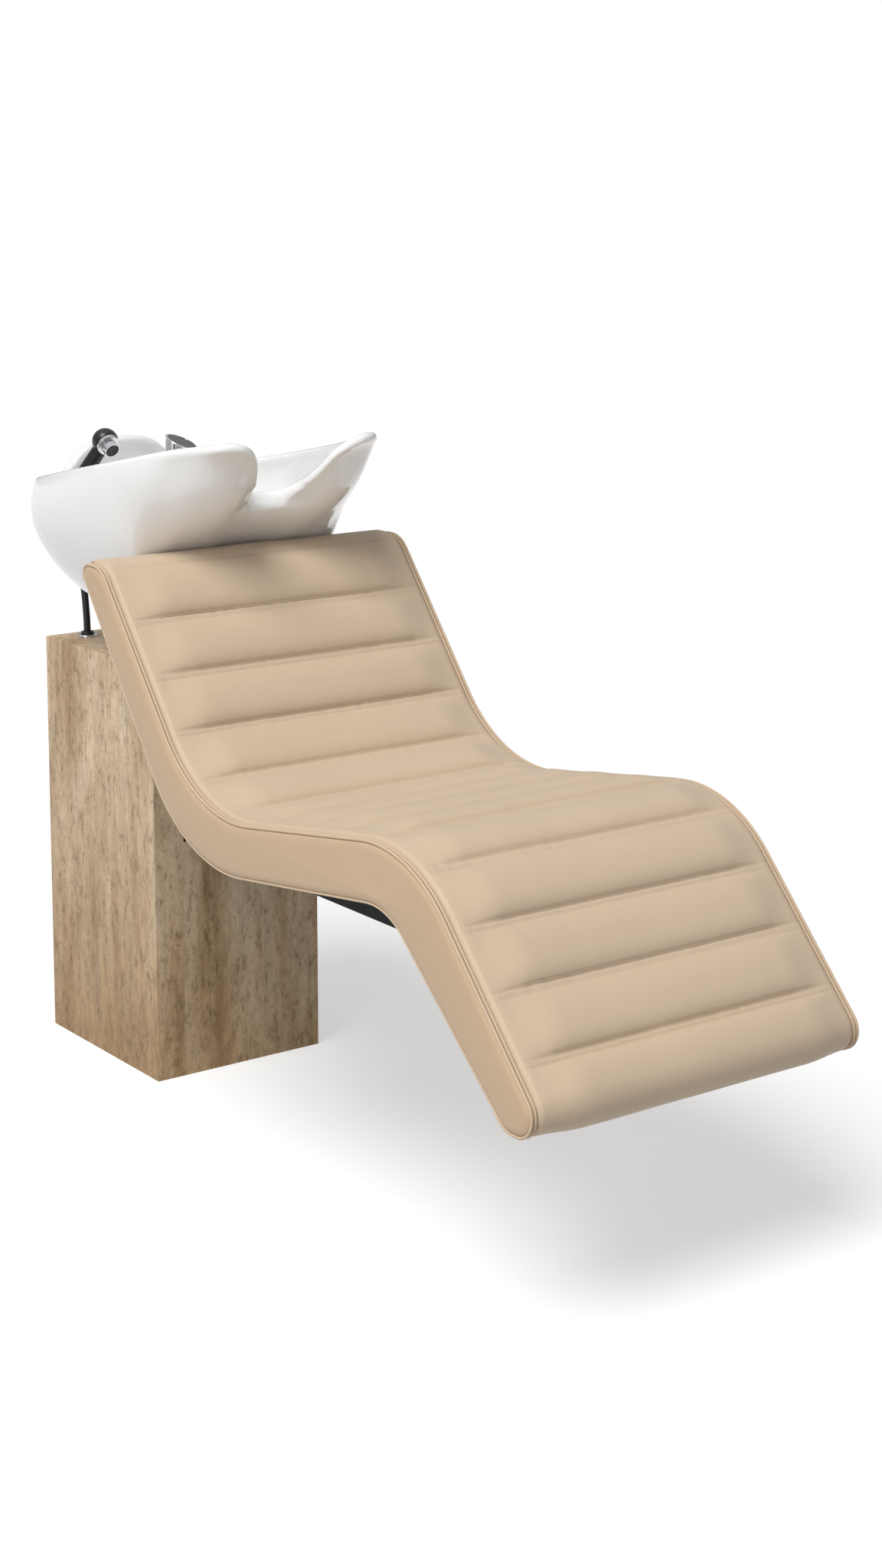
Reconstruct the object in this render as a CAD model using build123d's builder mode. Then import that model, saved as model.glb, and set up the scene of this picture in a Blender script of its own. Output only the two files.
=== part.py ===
from build123d import *
import math
import os

# Backwash unit: a stone plinth carries a channelled lounger on a steel arm and, behind its head,
# a tilting ceramic basin with a single lever mixer and a pull-out hand shower.
# Millimetres. X across, -Y towards the feet, +Z up, origin on the floor under the plinth's centre.

# General values
overrun = 5.0
joint_gap = 0.3
pin_clearance = 0.05
bolt_clearance = 0.5
up = Vector(0, 0, 1)

# Plinth
plinth_width = 314.0
plinth_depth = 360.0
plinth_height = 690.0
slab_thickness = 20.0
arris = 1.2
base_plate_thickness = 10.0
base_plate_gap = 6.0
floor_bolt_hole = 13.0
floor_bolt_inset = 24.0
corner_angle_leg = 25.0
corner_angle_wall = 3.0
corner_angle_height = 600.0
access_width = 210.0
access_height = 430.0
access_sill = 120.0
access_rebate = 14.0
access_panel_thickness = 8.0
access_screw = 5.0
access_screw_head = 11.0
access_screw_head_height = 2.5
access_screw_length = 9.0
ballast_width = 200.0
ballast_depth = 84.0
ballast_height = 130.0
ballast_count = 3

# Steel inside the plinth
mast_width = 110.0
mast_depth = 80.0
mast_wall = 4.0
mast_y = -64.0
mast_top_gap = 6.0

# Arm under the seat
arm_width = 200.0
arm_bottom = 400.0
arm_top = 470.0
arm_wall = 3.0
arm_flange_width = 240.0
arm_flange_height = 118.0
arm_flange_thickness = 8.0
arm_bolt = 10.0
arm_bolt_head = 16.0
arm_bolt_head_height = 6.4
arm_bolt_spacing_x = 72.0
arm_bolt_spacing_z = 90.0
arm_slot_gap = 3.0
seat_plate_width = 260.0
seat_plate_length = 200.0
seat_plate_thickness = 5.0
seat_plate_setback = 14.0
seat_bolt = 8.0
seat_bolt_head = 14.0
seat_bolt_head_height = 5.0
seat_bolt_spacing_x = 228.0
seat_bolt_spacing_y = 150.0

# Lounger, side view: corners of the upper face and the depth under each of them
lounger_width = 574.0
head_top = 876.5
head_y = -248.0
back_length = 443.0
back_angle = 50.6
seat_length = 546.4
seat_slope = 8.8
leg_length = 443.8
leg_angle = 47.0
head_width = 66.0
seat_corner_set = 35.0
seat_corner_drop = 78.0
knee_set = 50.0
knee_drop = 93.0
foot_width = 90.0
head_radius = 50.0
seat_radius = 250.0
knee_radius = 213.0
foot_radius = 29.0
foot_under_radius = 30.0
knee_under_radius = 110.0
seat_under_radius = 270.0
head_under_radius = 15.0

# Lounger, layers
side_panel_thickness = 12.0
side_panel_edge = 2.0
pad_thickness = 32.0
pad_end_thickness = 12.0
cover_thickness = 5.0
ply_thickness = 6.0
channel_count = 14
channel_pitch = 97.5
first_seam = 42.0
seam_rise = 8.0
bump_rise = 13.0
edge_sink = 1.0
edge_bump = 3.0
pad_shoulder = 42.0

batten_width = 22.0
head_border = 33.0
foot_border = 14.0

# Basin
basin_half_width = 223.0
basin_back = 193.0
neck_overhang = 10.2
lobe_reach = 125.8
basin_rim_low = 958.0
basin_rim_rise = 106.0
basin_wall = 18.0
basin_floor = 768.0
floor_half_width = 100.0
floor_half_length = 90.0
drain_y = 10.0
neck_share = 0.782
rim_shares = [
    (0.000, 0.782, 0.075),
    (0.126, 0.799, 0.123),
    (0.224, 0.854, 0.302),
    (0.287, 0.932, 0.623),
    (0.386, 0.986, 0.887),
    (0.529, 1.000, 1.000),
    (0.664, 0.962, 0.981),
    (0.789, 0.875, 0.906),
    (0.906, 0.742, 0.745),
    (0.987, 0.577, 0.547),
    (1.000, 0.404, 0.358),
    (0.969, 0.256, 0.198),
    (0.879, 0.135, 0.075),
    (0.709, 0.057, 0.000),
    (0.502, 0.019, 0.066),
    (0.323, 0.005, 0.396),
    (0.179, 0.002, 0.509),
    (0.000, 0.000, 0.528),
]
# along the rim from the neck notch to the back: lean of the wall, and the reach of its two handles
wall_place_shares = [0.00, 0.10, 0.20, 0.30, 0.40, 0.50, 0.65, 0.80, 1.00]
wall_lean_degrees = [40.0, 46.0, 42.0, 24.0, 6.0, -2.0, -12.0, -22.0, -13.0]
floor_handle_shares = [0.30, 0.34, 0.46, 0.62, 0.76, 0.68, 0.40, 0.27, 0.27]
rim_handle_shares = [0.45, 0.45, 0.42, 0.42, 0.45, 0.48, 0.55, 0.55, 0.55]
# room for the lounger's head under the front of the bowl
relief_gap = 7.0
relief_slope_share = 2.6
relief_blend = 26.0
relief_bend = 12.0
rim_steps = 30
wall_steps = 14
roll_steps = 6
wall_ring_counts = [0, 3, 6, 9, 12, 14]
roll_ring_counts = [1, 3, 5]
foot_width_x = 150.0
foot_length_y = 160.0
foot_centre_y = -15.0
foot_corner = 20.0
foot_bottom = 754.0
deck_depth = 93.0
deck_top = 936.0
deck_thickness = 16.0
partition_thickness = 14.0
drain_hole = 46.0
mixer_hole = 35.0
bush_hole = 30.0
hose_exit_hole = 34.0

hose_exit_x = -112.0
hose_exit_inset = 55.0

# Taps on the deck
mixer_x = 92.0
mixer_inset = 55.0
mixer_radius = 22.5
mixer_body_height = 23.0
mixer_flange_radius = 27.0
mixer_flange_height = 4.0
mixer_shank_radius = 16.5
mixer_shank_length = 52.0
mixer_nut_radius = 23.0
mixer_nut_height = 8.0
turret_radius = 25.4
turret_drop = 7.0
stem_width = 8.0
stem_depth = 10.0
stem_socket = 6.0
pivot_radius = 2.5
pivot_length = 34.0
knob_radius = 28.0
knob_gap = 0.8
knob_skirt = 6.0
knob_top = 1024.0
knob_slant = 24.0
knob_heading = 35.0
knob_rim = 2.4
knob_dish = 1.6
bush_x = -122.0
bush_inset = 49.0
bush_flange_radius = 19.0
bush_flange_height = 5.0
bush_sleeve_radius = 14.5
bush_sleeve_length = 26.0
bush_socket_radius = 15.5
bush_socket_length = 20.0
bush_bore = 10.5
bush_nut_radius = 20.0
bush_nut_height = 6.0
handset_lean = Vector(0.397, -0.390, 0.831).normalized()
spray_aim = Vector(0.01, -0.86, -0.51).normalized()
handset_length = 110.0
handset_foot_radius = 13.5
handset_neck_radius = 12.0
handset_head_radius = 22.0
handset_spigot_radius = 9.0
handset_spigot_length = 20.0
spigot_foot = 6.0
collar_start = 7.0
collar_radius = 19.5
collar_length = 7.0
nozzle_radius = 13.5
nozzle_wall = 1.8
nozzle_length = 14.0
spray_face_thickness = 4.0
spray_face_recess = 1.5

# Waste
waste_pipe_radius = 16.0
flange_radius = 34.0
flange_rim_height = 3.0
flange_bore = 17.0
flange_tube_radius = 22.0
flange_tube_bottom = 716.0
gasket_thickness = 2.0
drain_nut_radius = 34.0
drain_nut_height = 10.0
strainer_radius = 28.0
strainer_height = 5.0
strainer_pin_radius = 4.0
strainer_pin_length = 24.0
strainer_hole = 5.0
strainer_hole_count = 12
strainer_hole_circle = 38.0
spider_thickness = 6.0
spider_hub_radius = 7.0
spider_arm_width = 3.0
spider_drop = 12.0
coupling_radius = 26.0
coupling_height = 16.0
waste_hose_radius = 19.0
waste_hose_wall = 2.0
waste_hole_radius = 34.0
trap_radius = 30.0
trap_height = 120.0
trap_outlet_rise = 90.0
trap_wall = 3.0
waste_bend_radius = 34.0
waste_outlet_drop = 110.0

# Tilt hinge under the basin
hinge_z = 727.0
hinge_pin_radius = 8.0
cradle_thickness = 5.0
cradle_width = 130.0
cradle_length = 156.0
cradle_hole_radius = 38.0
cradle_corner = 12.0
cradle_lug_thickness = 6.0
cradle_lug_radius = 18.0
lug_inner_half = 26.0
post_radius = 24.0
post_collar_radius = 38.0
post_collar_height = 8.0
post_foot_thickness = 8.0
post_bolt = 8.0
post_bolt_head = 13.0
post_bolt_head_height = 5.0
post_bolt_length = 14.0
post_bolt_spacing_x = 84.0
post_bolt_spacing_y = 54.0
pin_head_radius = 11.0
pin_head_length = 4.0
pin_nut_across = 22.0
pin_nut_length = 7.0
cradle_bolt = 8.0
cradle_bolt_head = 14.0
cradle_bolt_head_height = 5.0
cradle_bolt_spacing_x = 104.0
cradle_bolt_spacing_y = 128.0
cradle_bolt_depth = 14.0

# Hoses
hose_radius = 6.0
rosette_x = -100.0
rosette_y = 137.0
rosette_radius = 18.0
rosette_height = 4.0
grommet_radius = 11.0
grommet_height = 9.0
grommet_sleeve = 20.0
supply_radius = 4.0
supply_wall = 1.0
supply_circle_radius = 5.2
supply_bottom = 424.0
manifold_width = 30.0
manifold_depth = 26.0
manifold_height = 24.0
hose_nut_across = 10.0
hose_nut_height = 8.0
outlet_level = 460.0
outlet_bend = 60.0
coupling_sleeve_radius = 9.0
coupling_sleeve_length = 24.0
# the hand shower's hose, from its foot through the bush, the basin's wall and the rosette
shower_route = [
    (-119.1, 141.2, 941.5),
    (-120.0, 142.0, 905.0),
    (-113.0, 139.0, 845.0),
    (-105.0, 137.3, 780.0),
    (-100.4, 137.0, 718.0),
    (-100.0, 137.2, 655.0),
    (-100.0, 137.0, 595.0),
]

os.makedirs("parts", exist_ok=True)


def save(block, name):
    """Label a finished piece and write it."""
    block.part.label = name
    export_step(block.part, "parts/" + name + ".step")


# Places that several pieces share
deck_front = basin_back - deck_depth
mixer_y = basin_back - mixer_inset
bush_y = basin_back - bush_inset
hose_exit_y = basin_back - hose_exit_inset
waste_outlet_height = plinth_height - slab_thickness - waste_outlet_drop
trap_bottom = waste_outlet_height - trap_outlet_rise
inner_half_x = plinth_width / 2 - slab_thickness
inner_half_y = plinth_depth / 2 - slab_thickness
slab_underside = plinth_height - slab_thickness
mast_front = mast_y - mast_depth / 2
mast_top = slab_underside - mast_top_gap - post_foot_thickness
arm_middle = (arm_bottom + arm_top) / 2


def outline_step(start, length, degrees):
    """The point a length away from another in the side view, as (y, z)."""
    turn = math.radians(degrees)
    return (start[0] + length * math.cos(turn), start[1] + length * math.sin(turn))


def inset(points, radii, depths):
    """Move each side of a closed outline inwards and keep its rounded corners round."""
    count = len(points)
    lines = []
    for i in range(count):
        start = Vector(*points[i])
        along = (Vector(*points[(i + 1) % count]) - start).normalized()
        inward = Vector(-along.Y, along.X)
        lines.append((start + inward * depths[i], along))
    corners = []
    rounds = []
    for i in range(count):
        base, along = lines[i - 1]
        other, onward = lines[i]
        cross = along.X * onward.Y - along.Y * onward.X
        gap = other - base
        reach = (gap.X * onward.Y - gap.Y * onward.X) / cross
        corner = base + along * reach
        corners.append((corner.X, corner.Y))
        depth = max(depths[i - 1], depths[i])
        rounds.append(radii[i] + depth if cross < 0 else max(radii[i] - depth, arris))
    return corners, rounds


def side_face(points, radii):
    """A rounded closed outline in the middle plane, seen from the side."""
    with BuildSketch(Plane.YZ) as outline:
        with BuildLine():
            FilletPolyline(*points, radius=radii, close=True)
        make_face()
    return outline.sketch_local


# The lounger's side outline, from the head down the upper face and back along the underside
head_upper = (head_y, head_top)
seat_corner = outline_step(head_upper, back_length, 180 + back_angle)
knee = outline_step(seat_corner, seat_length, 180 - seat_slope)
foot_tip = outline_step(knee, leg_length, 180 + leg_angle)
foot_under = (foot_tip[0] + foot_width, foot_tip[1])
knee_under = (knee[0] + knee_set, knee[1] - knee_drop)
seat_under = (seat_corner[0] + seat_corner_set, seat_corner[1] - seat_corner_drop)
head_under = (head_y + head_width, head_top)
outline_points = [
    head_upper, seat_corner, knee, foot_tip, foot_under, knee_under, seat_under, head_under,
]
outline_radii = [
    head_radius, seat_radius, knee_radius, foot_radius,
    foot_under_radius, knee_under_radius, seat_under_radius, head_under_radius,
]
body_half = lounger_width / 2 - side_panel_thickness


def layer(upper, ends, under, sharp_ends=False):
    """The side outline with its upper face, ends and underside moved inwards."""
    depths = [upper, upper, upper, ends, under, under, under, ends]
    corners, rounds = inset(outline_points, outline_radii, depths)
    if sharp_ends:
        rounds = [0.0] + rounds[1:3] + [0.0, 0.0] + rounds[5:7] + [0.0]
    return side_face(corners, rounds)


# Plinth: mitred stone slabs round a hollow
with BuildPart() as mitre_block:
    with BuildSketch(Plane.XY.offset(plinth_height)):
        Rectangle(plinth_width, plinth_depth)
    extrude(amount=-slab_thickness, taper=45)

with BuildPart() as plinth_top_slab:
    add(mitre_block.part)
    chamfer(plinth_top_slab.faces().sort_by(Axis.Z)[-1].edges(), arris)
    with Locations((0, mast_y, plinth_height)):
        Cylinder(post_radius + bolt_clearance, 3 * slab_thickness, mode=Mode.SUBTRACT)
    with Locations((0, drain_y, plinth_height)):
        Cylinder(waste_hole_radius, 3 * slab_thickness, mode=Mode.SUBTRACT)
    with Locations((rosette_x, rosette_y, plinth_height), (mixer_x, mixer_y, plinth_height)):
        Cylinder(grommet_radius + bolt_clearance, 3 * slab_thickness, mode=Mode.SUBTRACT)
save(plinth_top_slab, "plinth_top_slab")

half_x = plinth_width / 2
half_y = plinth_depth / 2
with BuildPart() as plinth_front_slab:
    with BuildSketch():
        Polygon(
            (-half_x, -half_y), (half_x, -half_y), (inner_half_x, -inner_half_y),
            (-inner_half_x, -inner_half_y), align=None,
        )
    extrude(amount=plinth_height)
    add(mitre_block.part, mode=Mode.SUBTRACT)
    with Locations((0, -half_y + slab_thickness / 2, arm_middle)):
        Box(
            arm_width + 2 * arm_slot_gap, slab_thickness + overrun,
            arm_top - arm_bottom + 2 * arm_slot_gap, mode=Mode.SUBTRACT,
        )
save(plinth_front_slab, "plinth_front_slab")

with BuildPart() as plinth_right_slab:
    with BuildSketch():
        Polygon(
            (half_x, -half_y), (half_x, half_y), (inner_half_x, inner_half_y),
            (inner_half_x, -inner_half_y), align=None,
        )
    extrude(amount=plinth_height)
    add(mitre_block.part, mode=Mode.SUBTRACT)
save(plinth_right_slab, "plinth_right_slab")

with BuildPart() as plinth_left_slab:
    add(plinth_right_slab.part.mirror(Plane.YZ))
save(plinth_left_slab, "plinth_left_slab")

access_middle = access_sill + access_height / 2
panel_plane = Plane(origin=(0, half_y, access_middle), x_dir=(1, 0, 0), z_dir=(0, 1, 0))
with BuildPart() as plinth_rear_slab:
    with BuildSketch():
        Polygon(
            (half_x, half_y), (-half_x, half_y), (-inner_half_x, inner_half_y),
            (inner_half_x, inner_half_y), align=None,
        )
    extrude(amount=plinth_height)
    add(mitre_block.part, mode=Mode.SUBTRACT)
    with Locations((0, half_y - slab_thickness / 2, access_middle)):
        Box(access_width, slab_thickness + overrun, access_height, mode=Mode.SUBTRACT)
    with Locations((0, half_y, access_middle)):
        Box(
            access_width + 2 * access_rebate, 2 * access_panel_thickness,
            access_height + 2 * access_rebate, mode=Mode.SUBTRACT,
        )
    with Locations(panel_plane.offset(-access_panel_thickness)):
        with GridLocations(access_width + access_rebate, access_height + access_rebate, 2, 2):
            Cylinder(
                access_screw / 2, 2 * access_screw_length, mode=Mode.SUBTRACT,
            )
save(plinth_rear_slab, "plinth_rear_slab")

with BuildPart() as access_panel:
    with BuildSketch(panel_plane.offset(-access_panel_thickness)):
        Rectangle(
            access_width + 2 * access_rebate - 2 * joint_gap,
            access_height + 2 * access_rebate - 2 * joint_gap,
        )
    extrude(amount=access_panel_thickness)
    chamfer(access_panel.faces().sort_by(Axis.Y)[-1].edges(), arris)
    with Locations(panel_plane):
        with GridLocations(access_width + access_rebate, access_height + access_rebate, 2, 2):
            CounterBoreHole(
                access_screw / 2 + pin_clearance, access_screw_head / 2 + bolt_clearance,
                access_screw_head_height, depth=access_panel_thickness + overrun,
            )
save(access_panel, "access_panel")

with BuildPart() as access_panel_screws:
    with Locations(panel_plane.offset(-access_screw_head_height)):
        with GridLocations(access_width + access_rebate, access_height + access_rebate, 2, 2):
            Cylinder(
                access_screw_head / 2, access_screw_head_height,
                align=(Align.CENTER, Align.CENTER, Align.MIN),
            )
            Cylinder(
                access_screw / 2, access_panel_thickness - access_screw_head_height + access_screw_length,
                align=(Align.CENTER, Align.CENTER, Align.MAX),
            )
save(access_panel_screws, "access_panel_screws")

# Steel base, corner angles, ballast and mast inside the plinth
waste_pipe_x = (mast_width / 2 + inner_half_x) / 2
with BuildPart() as base_plate:
    with BuildSketch():
        Rectangle(2 * (inner_half_x - base_plate_gap), 2 * (inner_half_y - base_plate_gap))
        with GridLocations(
            2 * (inner_half_x - base_plate_gap - floor_bolt_inset),
            2 * (inner_half_y - base_plate_gap - floor_bolt_inset), 2, 2,
        ):
            Circle(floor_bolt_hole / 2, mode=Mode.SUBTRACT)
        with Locations((waste_pipe_x, drain_y)):
            Circle(waste_pipe_radius + bolt_clearance, mode=Mode.SUBTRACT)
    extrude(amount=base_plate_thickness)
save(base_plate, "base_plate")

with BuildPart() as corner_angles:
    with BuildSketch(Plane.XY.offset(base_plate_thickness)):
        with GridLocations(2 * inner_half_x - corner_angle_leg, 2 * inner_half_y - corner_angle_leg, 2, 2):
            Rectangle(corner_angle_leg, corner_angle_leg)
        Rectangle(
            2 * (inner_half_x - corner_angle_wall), 2 * (inner_half_y - corner_angle_wall),
            mode=Mode.SUBTRACT,
        )
    extrude(amount=corner_angle_height)
save(corner_angles, "corner_angles")

ballast_y = inner_half_y - base_plate_gap - ballast_depth / 2
with BuildPart() as ballast_blocks:
    for layer_number in range(ballast_count):
        block_bottom = base_plate_thickness + layer_number * ballast_height
        with Locations((0, ballast_y, block_bottom)):
            Box(
                ballast_width, ballast_depth, ballast_height,
                align=(Align.CENTER, Align.CENTER, Align.MIN),
            )
save(ballast_blocks, "ballast_blocks")

arm_bolt_plane = Plane(origin=(0, mast_front, arm_middle), x_dir=(1, 0, 0), z_dir=(0, -1, 0))
with BuildPart() as mast:
    with BuildSketch(Plane.XY.offset(base_plate_thickness)):
        with Locations((0, mast_y)):
            Rectangle(mast_width, mast_depth)
            Rectangle(mast_width - 2 * mast_wall, mast_depth - 2 * mast_wall, mode=Mode.SUBTRACT)
    extrude(amount=mast_top - base_plate_thickness)
    with BuildSketch(Plane.XY.offset(mast_top)):
        with Locations((0, mast_y)):
            Rectangle(mast_width, mast_depth)
    extrude(amount=-post_foot_thickness)
    with Locations(arm_bolt_plane):
        with GridLocations(arm_bolt_spacing_x, arm_bolt_spacing_z, 2, 2):
            Cylinder(arm_bolt / 2 + bolt_clearance, 3 * mast_wall, mode=Mode.SUBTRACT)
    with Locations((0, mast_y, mast_top)):
        with GridLocations(post_bolt_spacing_x, post_bolt_spacing_y, 2, 2):
            Cylinder(post_bolt / 2 + pin_clearance, 3 * post_foot_thickness, mode=Mode.SUBTRACT)
save(mast, "mast")

# Arm: a box beam bolted to the mast, with the seat plate welded along its upper face
seat_slope_line = (Vector(*knee_under) - Vector(*seat_under)).normalized()
seat_out = Vector(0, seat_slope_line.Y, -seat_slope_line.X)
if seat_out.Z > 0:
    seat_out = seat_out * -1
seat_reach = seat_under_radius * math.tan(math.radians((back_angle + seat_slope) / 2))
plate_start = Vector(*seat_under) + seat_slope_line * (seat_reach + seat_plate_setback)
plate_middle = plate_start + seat_slope_line * (seat_plate_length / 2)
plate_end = plate_start + seat_slope_line * seat_plate_length
seat_plate_plane = Plane(
    origin=(0, plate_middle.X, plate_middle.Y), x_dir=(1, 0, 0), z_dir=(0, seat_out.Y, seat_out.Z),
)
plate_drop = seat_plate_thickness / abs(seat_out.Z)
arm_profile = [
    (mast_front - arm_flange_thickness, arm_bottom),
    (plate_end.X, arm_bottom),
    (plate_end.X, plate_end.Y - plate_drop),
    (plate_start.X, plate_start.Y - plate_drop),
    (plate_start.X + seat_plate_setback, arm_top),
    (mast_front - arm_flange_thickness, arm_top),
]
with BuildPart() as seat_arm:
    with BuildSketch(Plane.YZ.offset(-arm_width / 2)):
        with BuildLine():
            Polyline(*arm_profile, close=True)
        make_face()
    extrude(amount=arm_width)
    offset(amount=-arm_wall, openings=seat_arm.faces().sort_by(Axis.Y)[-1])
    with BuildSketch(arm_bolt_plane):
        Rectangle(arm_flange_width, arm_flange_height)
    extrude(amount=arm_flange_thickness)
    with Locations(arm_bolt_plane):
        with GridLocations(arm_bolt_spacing_x, arm_bolt_spacing_z, 2, 2):
            Cylinder(arm_bolt / 2 + bolt_clearance, 3 * arm_flange_thickness, mode=Mode.SUBTRACT)
    with BuildSketch(seat_plate_plane):
        RectangleRounded(seat_plate_width, seat_plate_length, seat_bolt_head / 2)
        with GridLocations(seat_bolt_spacing_x, seat_bolt_spacing_y, 2, 2):
            Circle(seat_bolt / 2 + bolt_clearance, mode=Mode.SUBTRACT)
    extrude(amount=seat_plate_thickness)
save(seat_arm, "seat_arm")

with BuildPart() as arm_bolts:
    with Locations(arm_bolt_plane.offset(arm_flange_thickness)):
        with GridLocations(arm_bolt_spacing_x, arm_bolt_spacing_z, 2, 2):
            Cylinder(
                arm_bolt_head / 2, arm_bolt_head_height, align=(Align.CENTER, Align.CENTER, Align.MIN),
            )
            Cylinder(
                arm_bolt / 2, arm_flange_thickness + mast_wall + arm_bolt_head_height,
                align=(Align.CENTER, Align.CENTER, Align.MAX),
            )
save(arm_bolts, "arm_bolts")

# Lounger: padded cover over a plywood shell, closed by two side panels and an underside cover
core = layer(pad_thickness, pad_end_thickness, 0.0)
shell_skin = layer(pad_thickness + joint_gap, pad_end_thickness + joint_gap, cover_thickness + joint_gap)
shell_hollow = layer(
    pad_thickness + joint_gap + ply_thickness, pad_end_thickness + joint_gap + batten_width,
    cover_thickness + joint_gap + ply_thickness, sharp_ends=True,
)
above_cover = layer(0.0, 0.0, cover_thickness)
hollow_width = body_half - joint_gap - 1.5 * batten_width
with BuildPart() as lounger_shell:
    with BuildSketch(Plane.YZ.offset(-body_half + joint_gap)):
        add(shell_skin)
    extrude(amount=2 * (body_half - joint_gap))
    for side in (-1, 1):
        hollow_start = side * batten_width / 2 if side > 0 else -batten_width / 2 - hollow_width
        with BuildSketch(Plane.YZ.offset(hollow_start)):
            add(shell_hollow)
        extrude(amount=hollow_width, mode=Mode.SUBTRACT)
    with Locations(seat_plate_plane):
        with GridLocations(seat_bolt_spacing_x, seat_bolt_spacing_y, 2, 2):
            Cylinder(
                seat_bolt / 2 + bolt_clearance, 2 * (cover_thickness + ply_thickness + overrun),
                mode=Mode.SUBTRACT,
            )
save(lounger_shell, "lounger_shell")

with BuildPart() as underside_cover:
    with BuildSketch(Plane.YZ.offset(-body_half + joint_gap)):
        add(core)
        add(above_cover, mode=Mode.SUBTRACT)
    extrude(amount=2 * (body_half - joint_gap))
    with Locations(seat_plate_plane):
        with GridLocations(seat_bolt_spacing_x, seat_bolt_spacing_y, 2, 2):
            Cylinder(seat_bolt / 2 + bolt_clearance, 4 * cover_thickness, mode=Mode.SUBTRACT)
save(underside_cover, "underside_cover")

with BuildPart() as seat_bolts:
    with Locations(seat_plate_plane.offset(seat_plate_thickness)):
        with GridLocations(seat_bolt_spacing_x, seat_bolt_spacing_y, 2, 2):
            Cylinder(
                seat_bolt_head / 2, seat_bolt_head_height, align=(Align.CENTER, Align.CENTER, Align.MIN),
            )
            Cylinder(
                seat_bolt / 2, seat_plate_thickness + cover_thickness + ply_thickness + 2 * joint_gap,
                align=(Align.CENTER, Align.CENTER, Align.MAX),
            )
save(seat_bolts, "seat_bolts")

with BuildPart() as side_panel_right:
    with BuildSketch(Plane.YZ.offset(body_half)):
        add(layer(0.0, 0.0, 0.0))
    extrude(amount=side_panel_thickness)
    chamfer(side_panel_right.faces().sort_by(Axis.X)[-1].edges(), side_panel_edge)
save(side_panel_right, "side_panel_right")

with BuildPart() as side_panel_left:
    add(side_panel_right.part.mirror(Plane.YZ))
save(side_panel_left, "side_panel_left")

# The pad's upper line, from the head's border to the foot end, and its seams along it
pad_start = (head_under[0] - head_border, head_top)
pad_finish = (foot_under[0] - foot_border, foot_under[1])
with BuildLine(Plane.YZ) as pad_line:
    FilletPolyline(
        pad_start, head_upper, seat_corner, knee, foot_tip, pad_finish, radius=outline_radii[0:4],
    )
pad_path = pad_line.wires()[0]
pad_reach = pad_path.length


def over_pad(distance, rise):
    """The point above the pad's line at a distance along it, as (y, z)."""
    share = min(distance / pad_reach, 1.0)
    place = pad_path.position_at(share)
    along = pad_path.tangent_at(share)
    return (place.Y + rise * along.Z, place.Z - rise * along.Y)


def pad_section(x, seam, bump):
    """The pad's side outline at one place across it, with its channels."""
    seams = [first_seam + number * channel_pitch for number in range(channel_count)]
    seams.append((seams[-1] + pad_reach) / 2)
    with BuildSketch(Plane.YZ.offset(x)) as section:
        with BuildLine():
            last = (0.0, -edge_sink)
            for number, place in enumerate(seams + [pad_reach]):
                ends = place >= pad_reach or number == 0
                rise = -edge_sink if place >= pad_reach else seam
                height = max(seam, edge_bump) if ends else bump
                middle = over_pad((last[0] + place) / 2, height)
                ThreePointArc(over_pad(*last), middle, over_pad(place, rise))
                last = (place, rise)
            FilletPolyline(
                over_pad(pad_reach, -edge_sink), foot_under, knee_under, seat_under, head_under,
                over_pad(0.0, -edge_sink), radius=outline_radii[4:8],
            )
        make_face()
    return section.sketch


pad_half = body_half - joint_gap
with BuildPart() as lounger_pad:
    for x, seam, bump in (
        (-pad_half, -edge_sink, edge_bump),
        (-pad_half + pad_shoulder, seam_rise, seam_rise + bump_rise),
        (pad_half - pad_shoulder, seam_rise, seam_rise + bump_rise),
        (pad_half, -edge_sink, edge_bump),
    ):
        add(pad_section(x, seam, bump))
    loft(ruled=True)
    with BuildSketch(Plane.YZ.offset(-pad_half - overrun)):
        add(core)
    extrude(amount=2 * (pad_half + overrun), mode=Mode.SUBTRACT)
save(lounger_pad, "lounger_pad")
print("pad line", pad_reach, "pad", lounger_pad.part.volume, len(lounger_pad.part.solids()))

# Basin: one thick skin of rings, from the floor up the outside, over the rim and down the inside
neck_y = head_y - neck_overhang


def rim_place(share):
    """Where a share of the rim lies along the unit: from the back to the neck, then to the lobes' tips."""
    if share <= neck_share:
        return basin_back - (basin_back - neck_y) * share / neck_share
    return neck_y - lobe_reach * (share - neck_share) / (1 - neck_share)


rim_points = [
    Vector(x_share * basin_half_width, rim_place(y_share), basin_rim_low + z_share * basin_rim_rise)
    for x_share, y_share, z_share in rim_shares
]
rim_marks = [0.0]
for first, second in zip(rim_points, rim_points[1:]):
    rim_marks.append(rim_marks[-1] + (second - first).length)
rim_length = rim_marks[-1]
rim_curve = Edge.make_spline(
    rim_points, tangents=[Vector(rim_length, 0, 0), Vector(-rim_length, 0, 0)],
    parameters=[mark / rim_length for mark in rim_marks], scale=False,
)


def eased(places, values, share):
    """A value between the listed ones, with a smooth step from each to the next."""
    for i in range(len(places) - 1):
        if share <= places[i + 1]:
            part_way = (share - places[i]) / (places[i + 1] - places[i])
            smooth = part_way * part_way * (3 - 2 * part_way)
            return values[i] + smooth * (values[i + 1] - values[i])
    return values[-1]


relief_front = head_under[0] + basin_wall / 2 + relief_gap
relief_level = head_top + seam_rise + bump_rise


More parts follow.
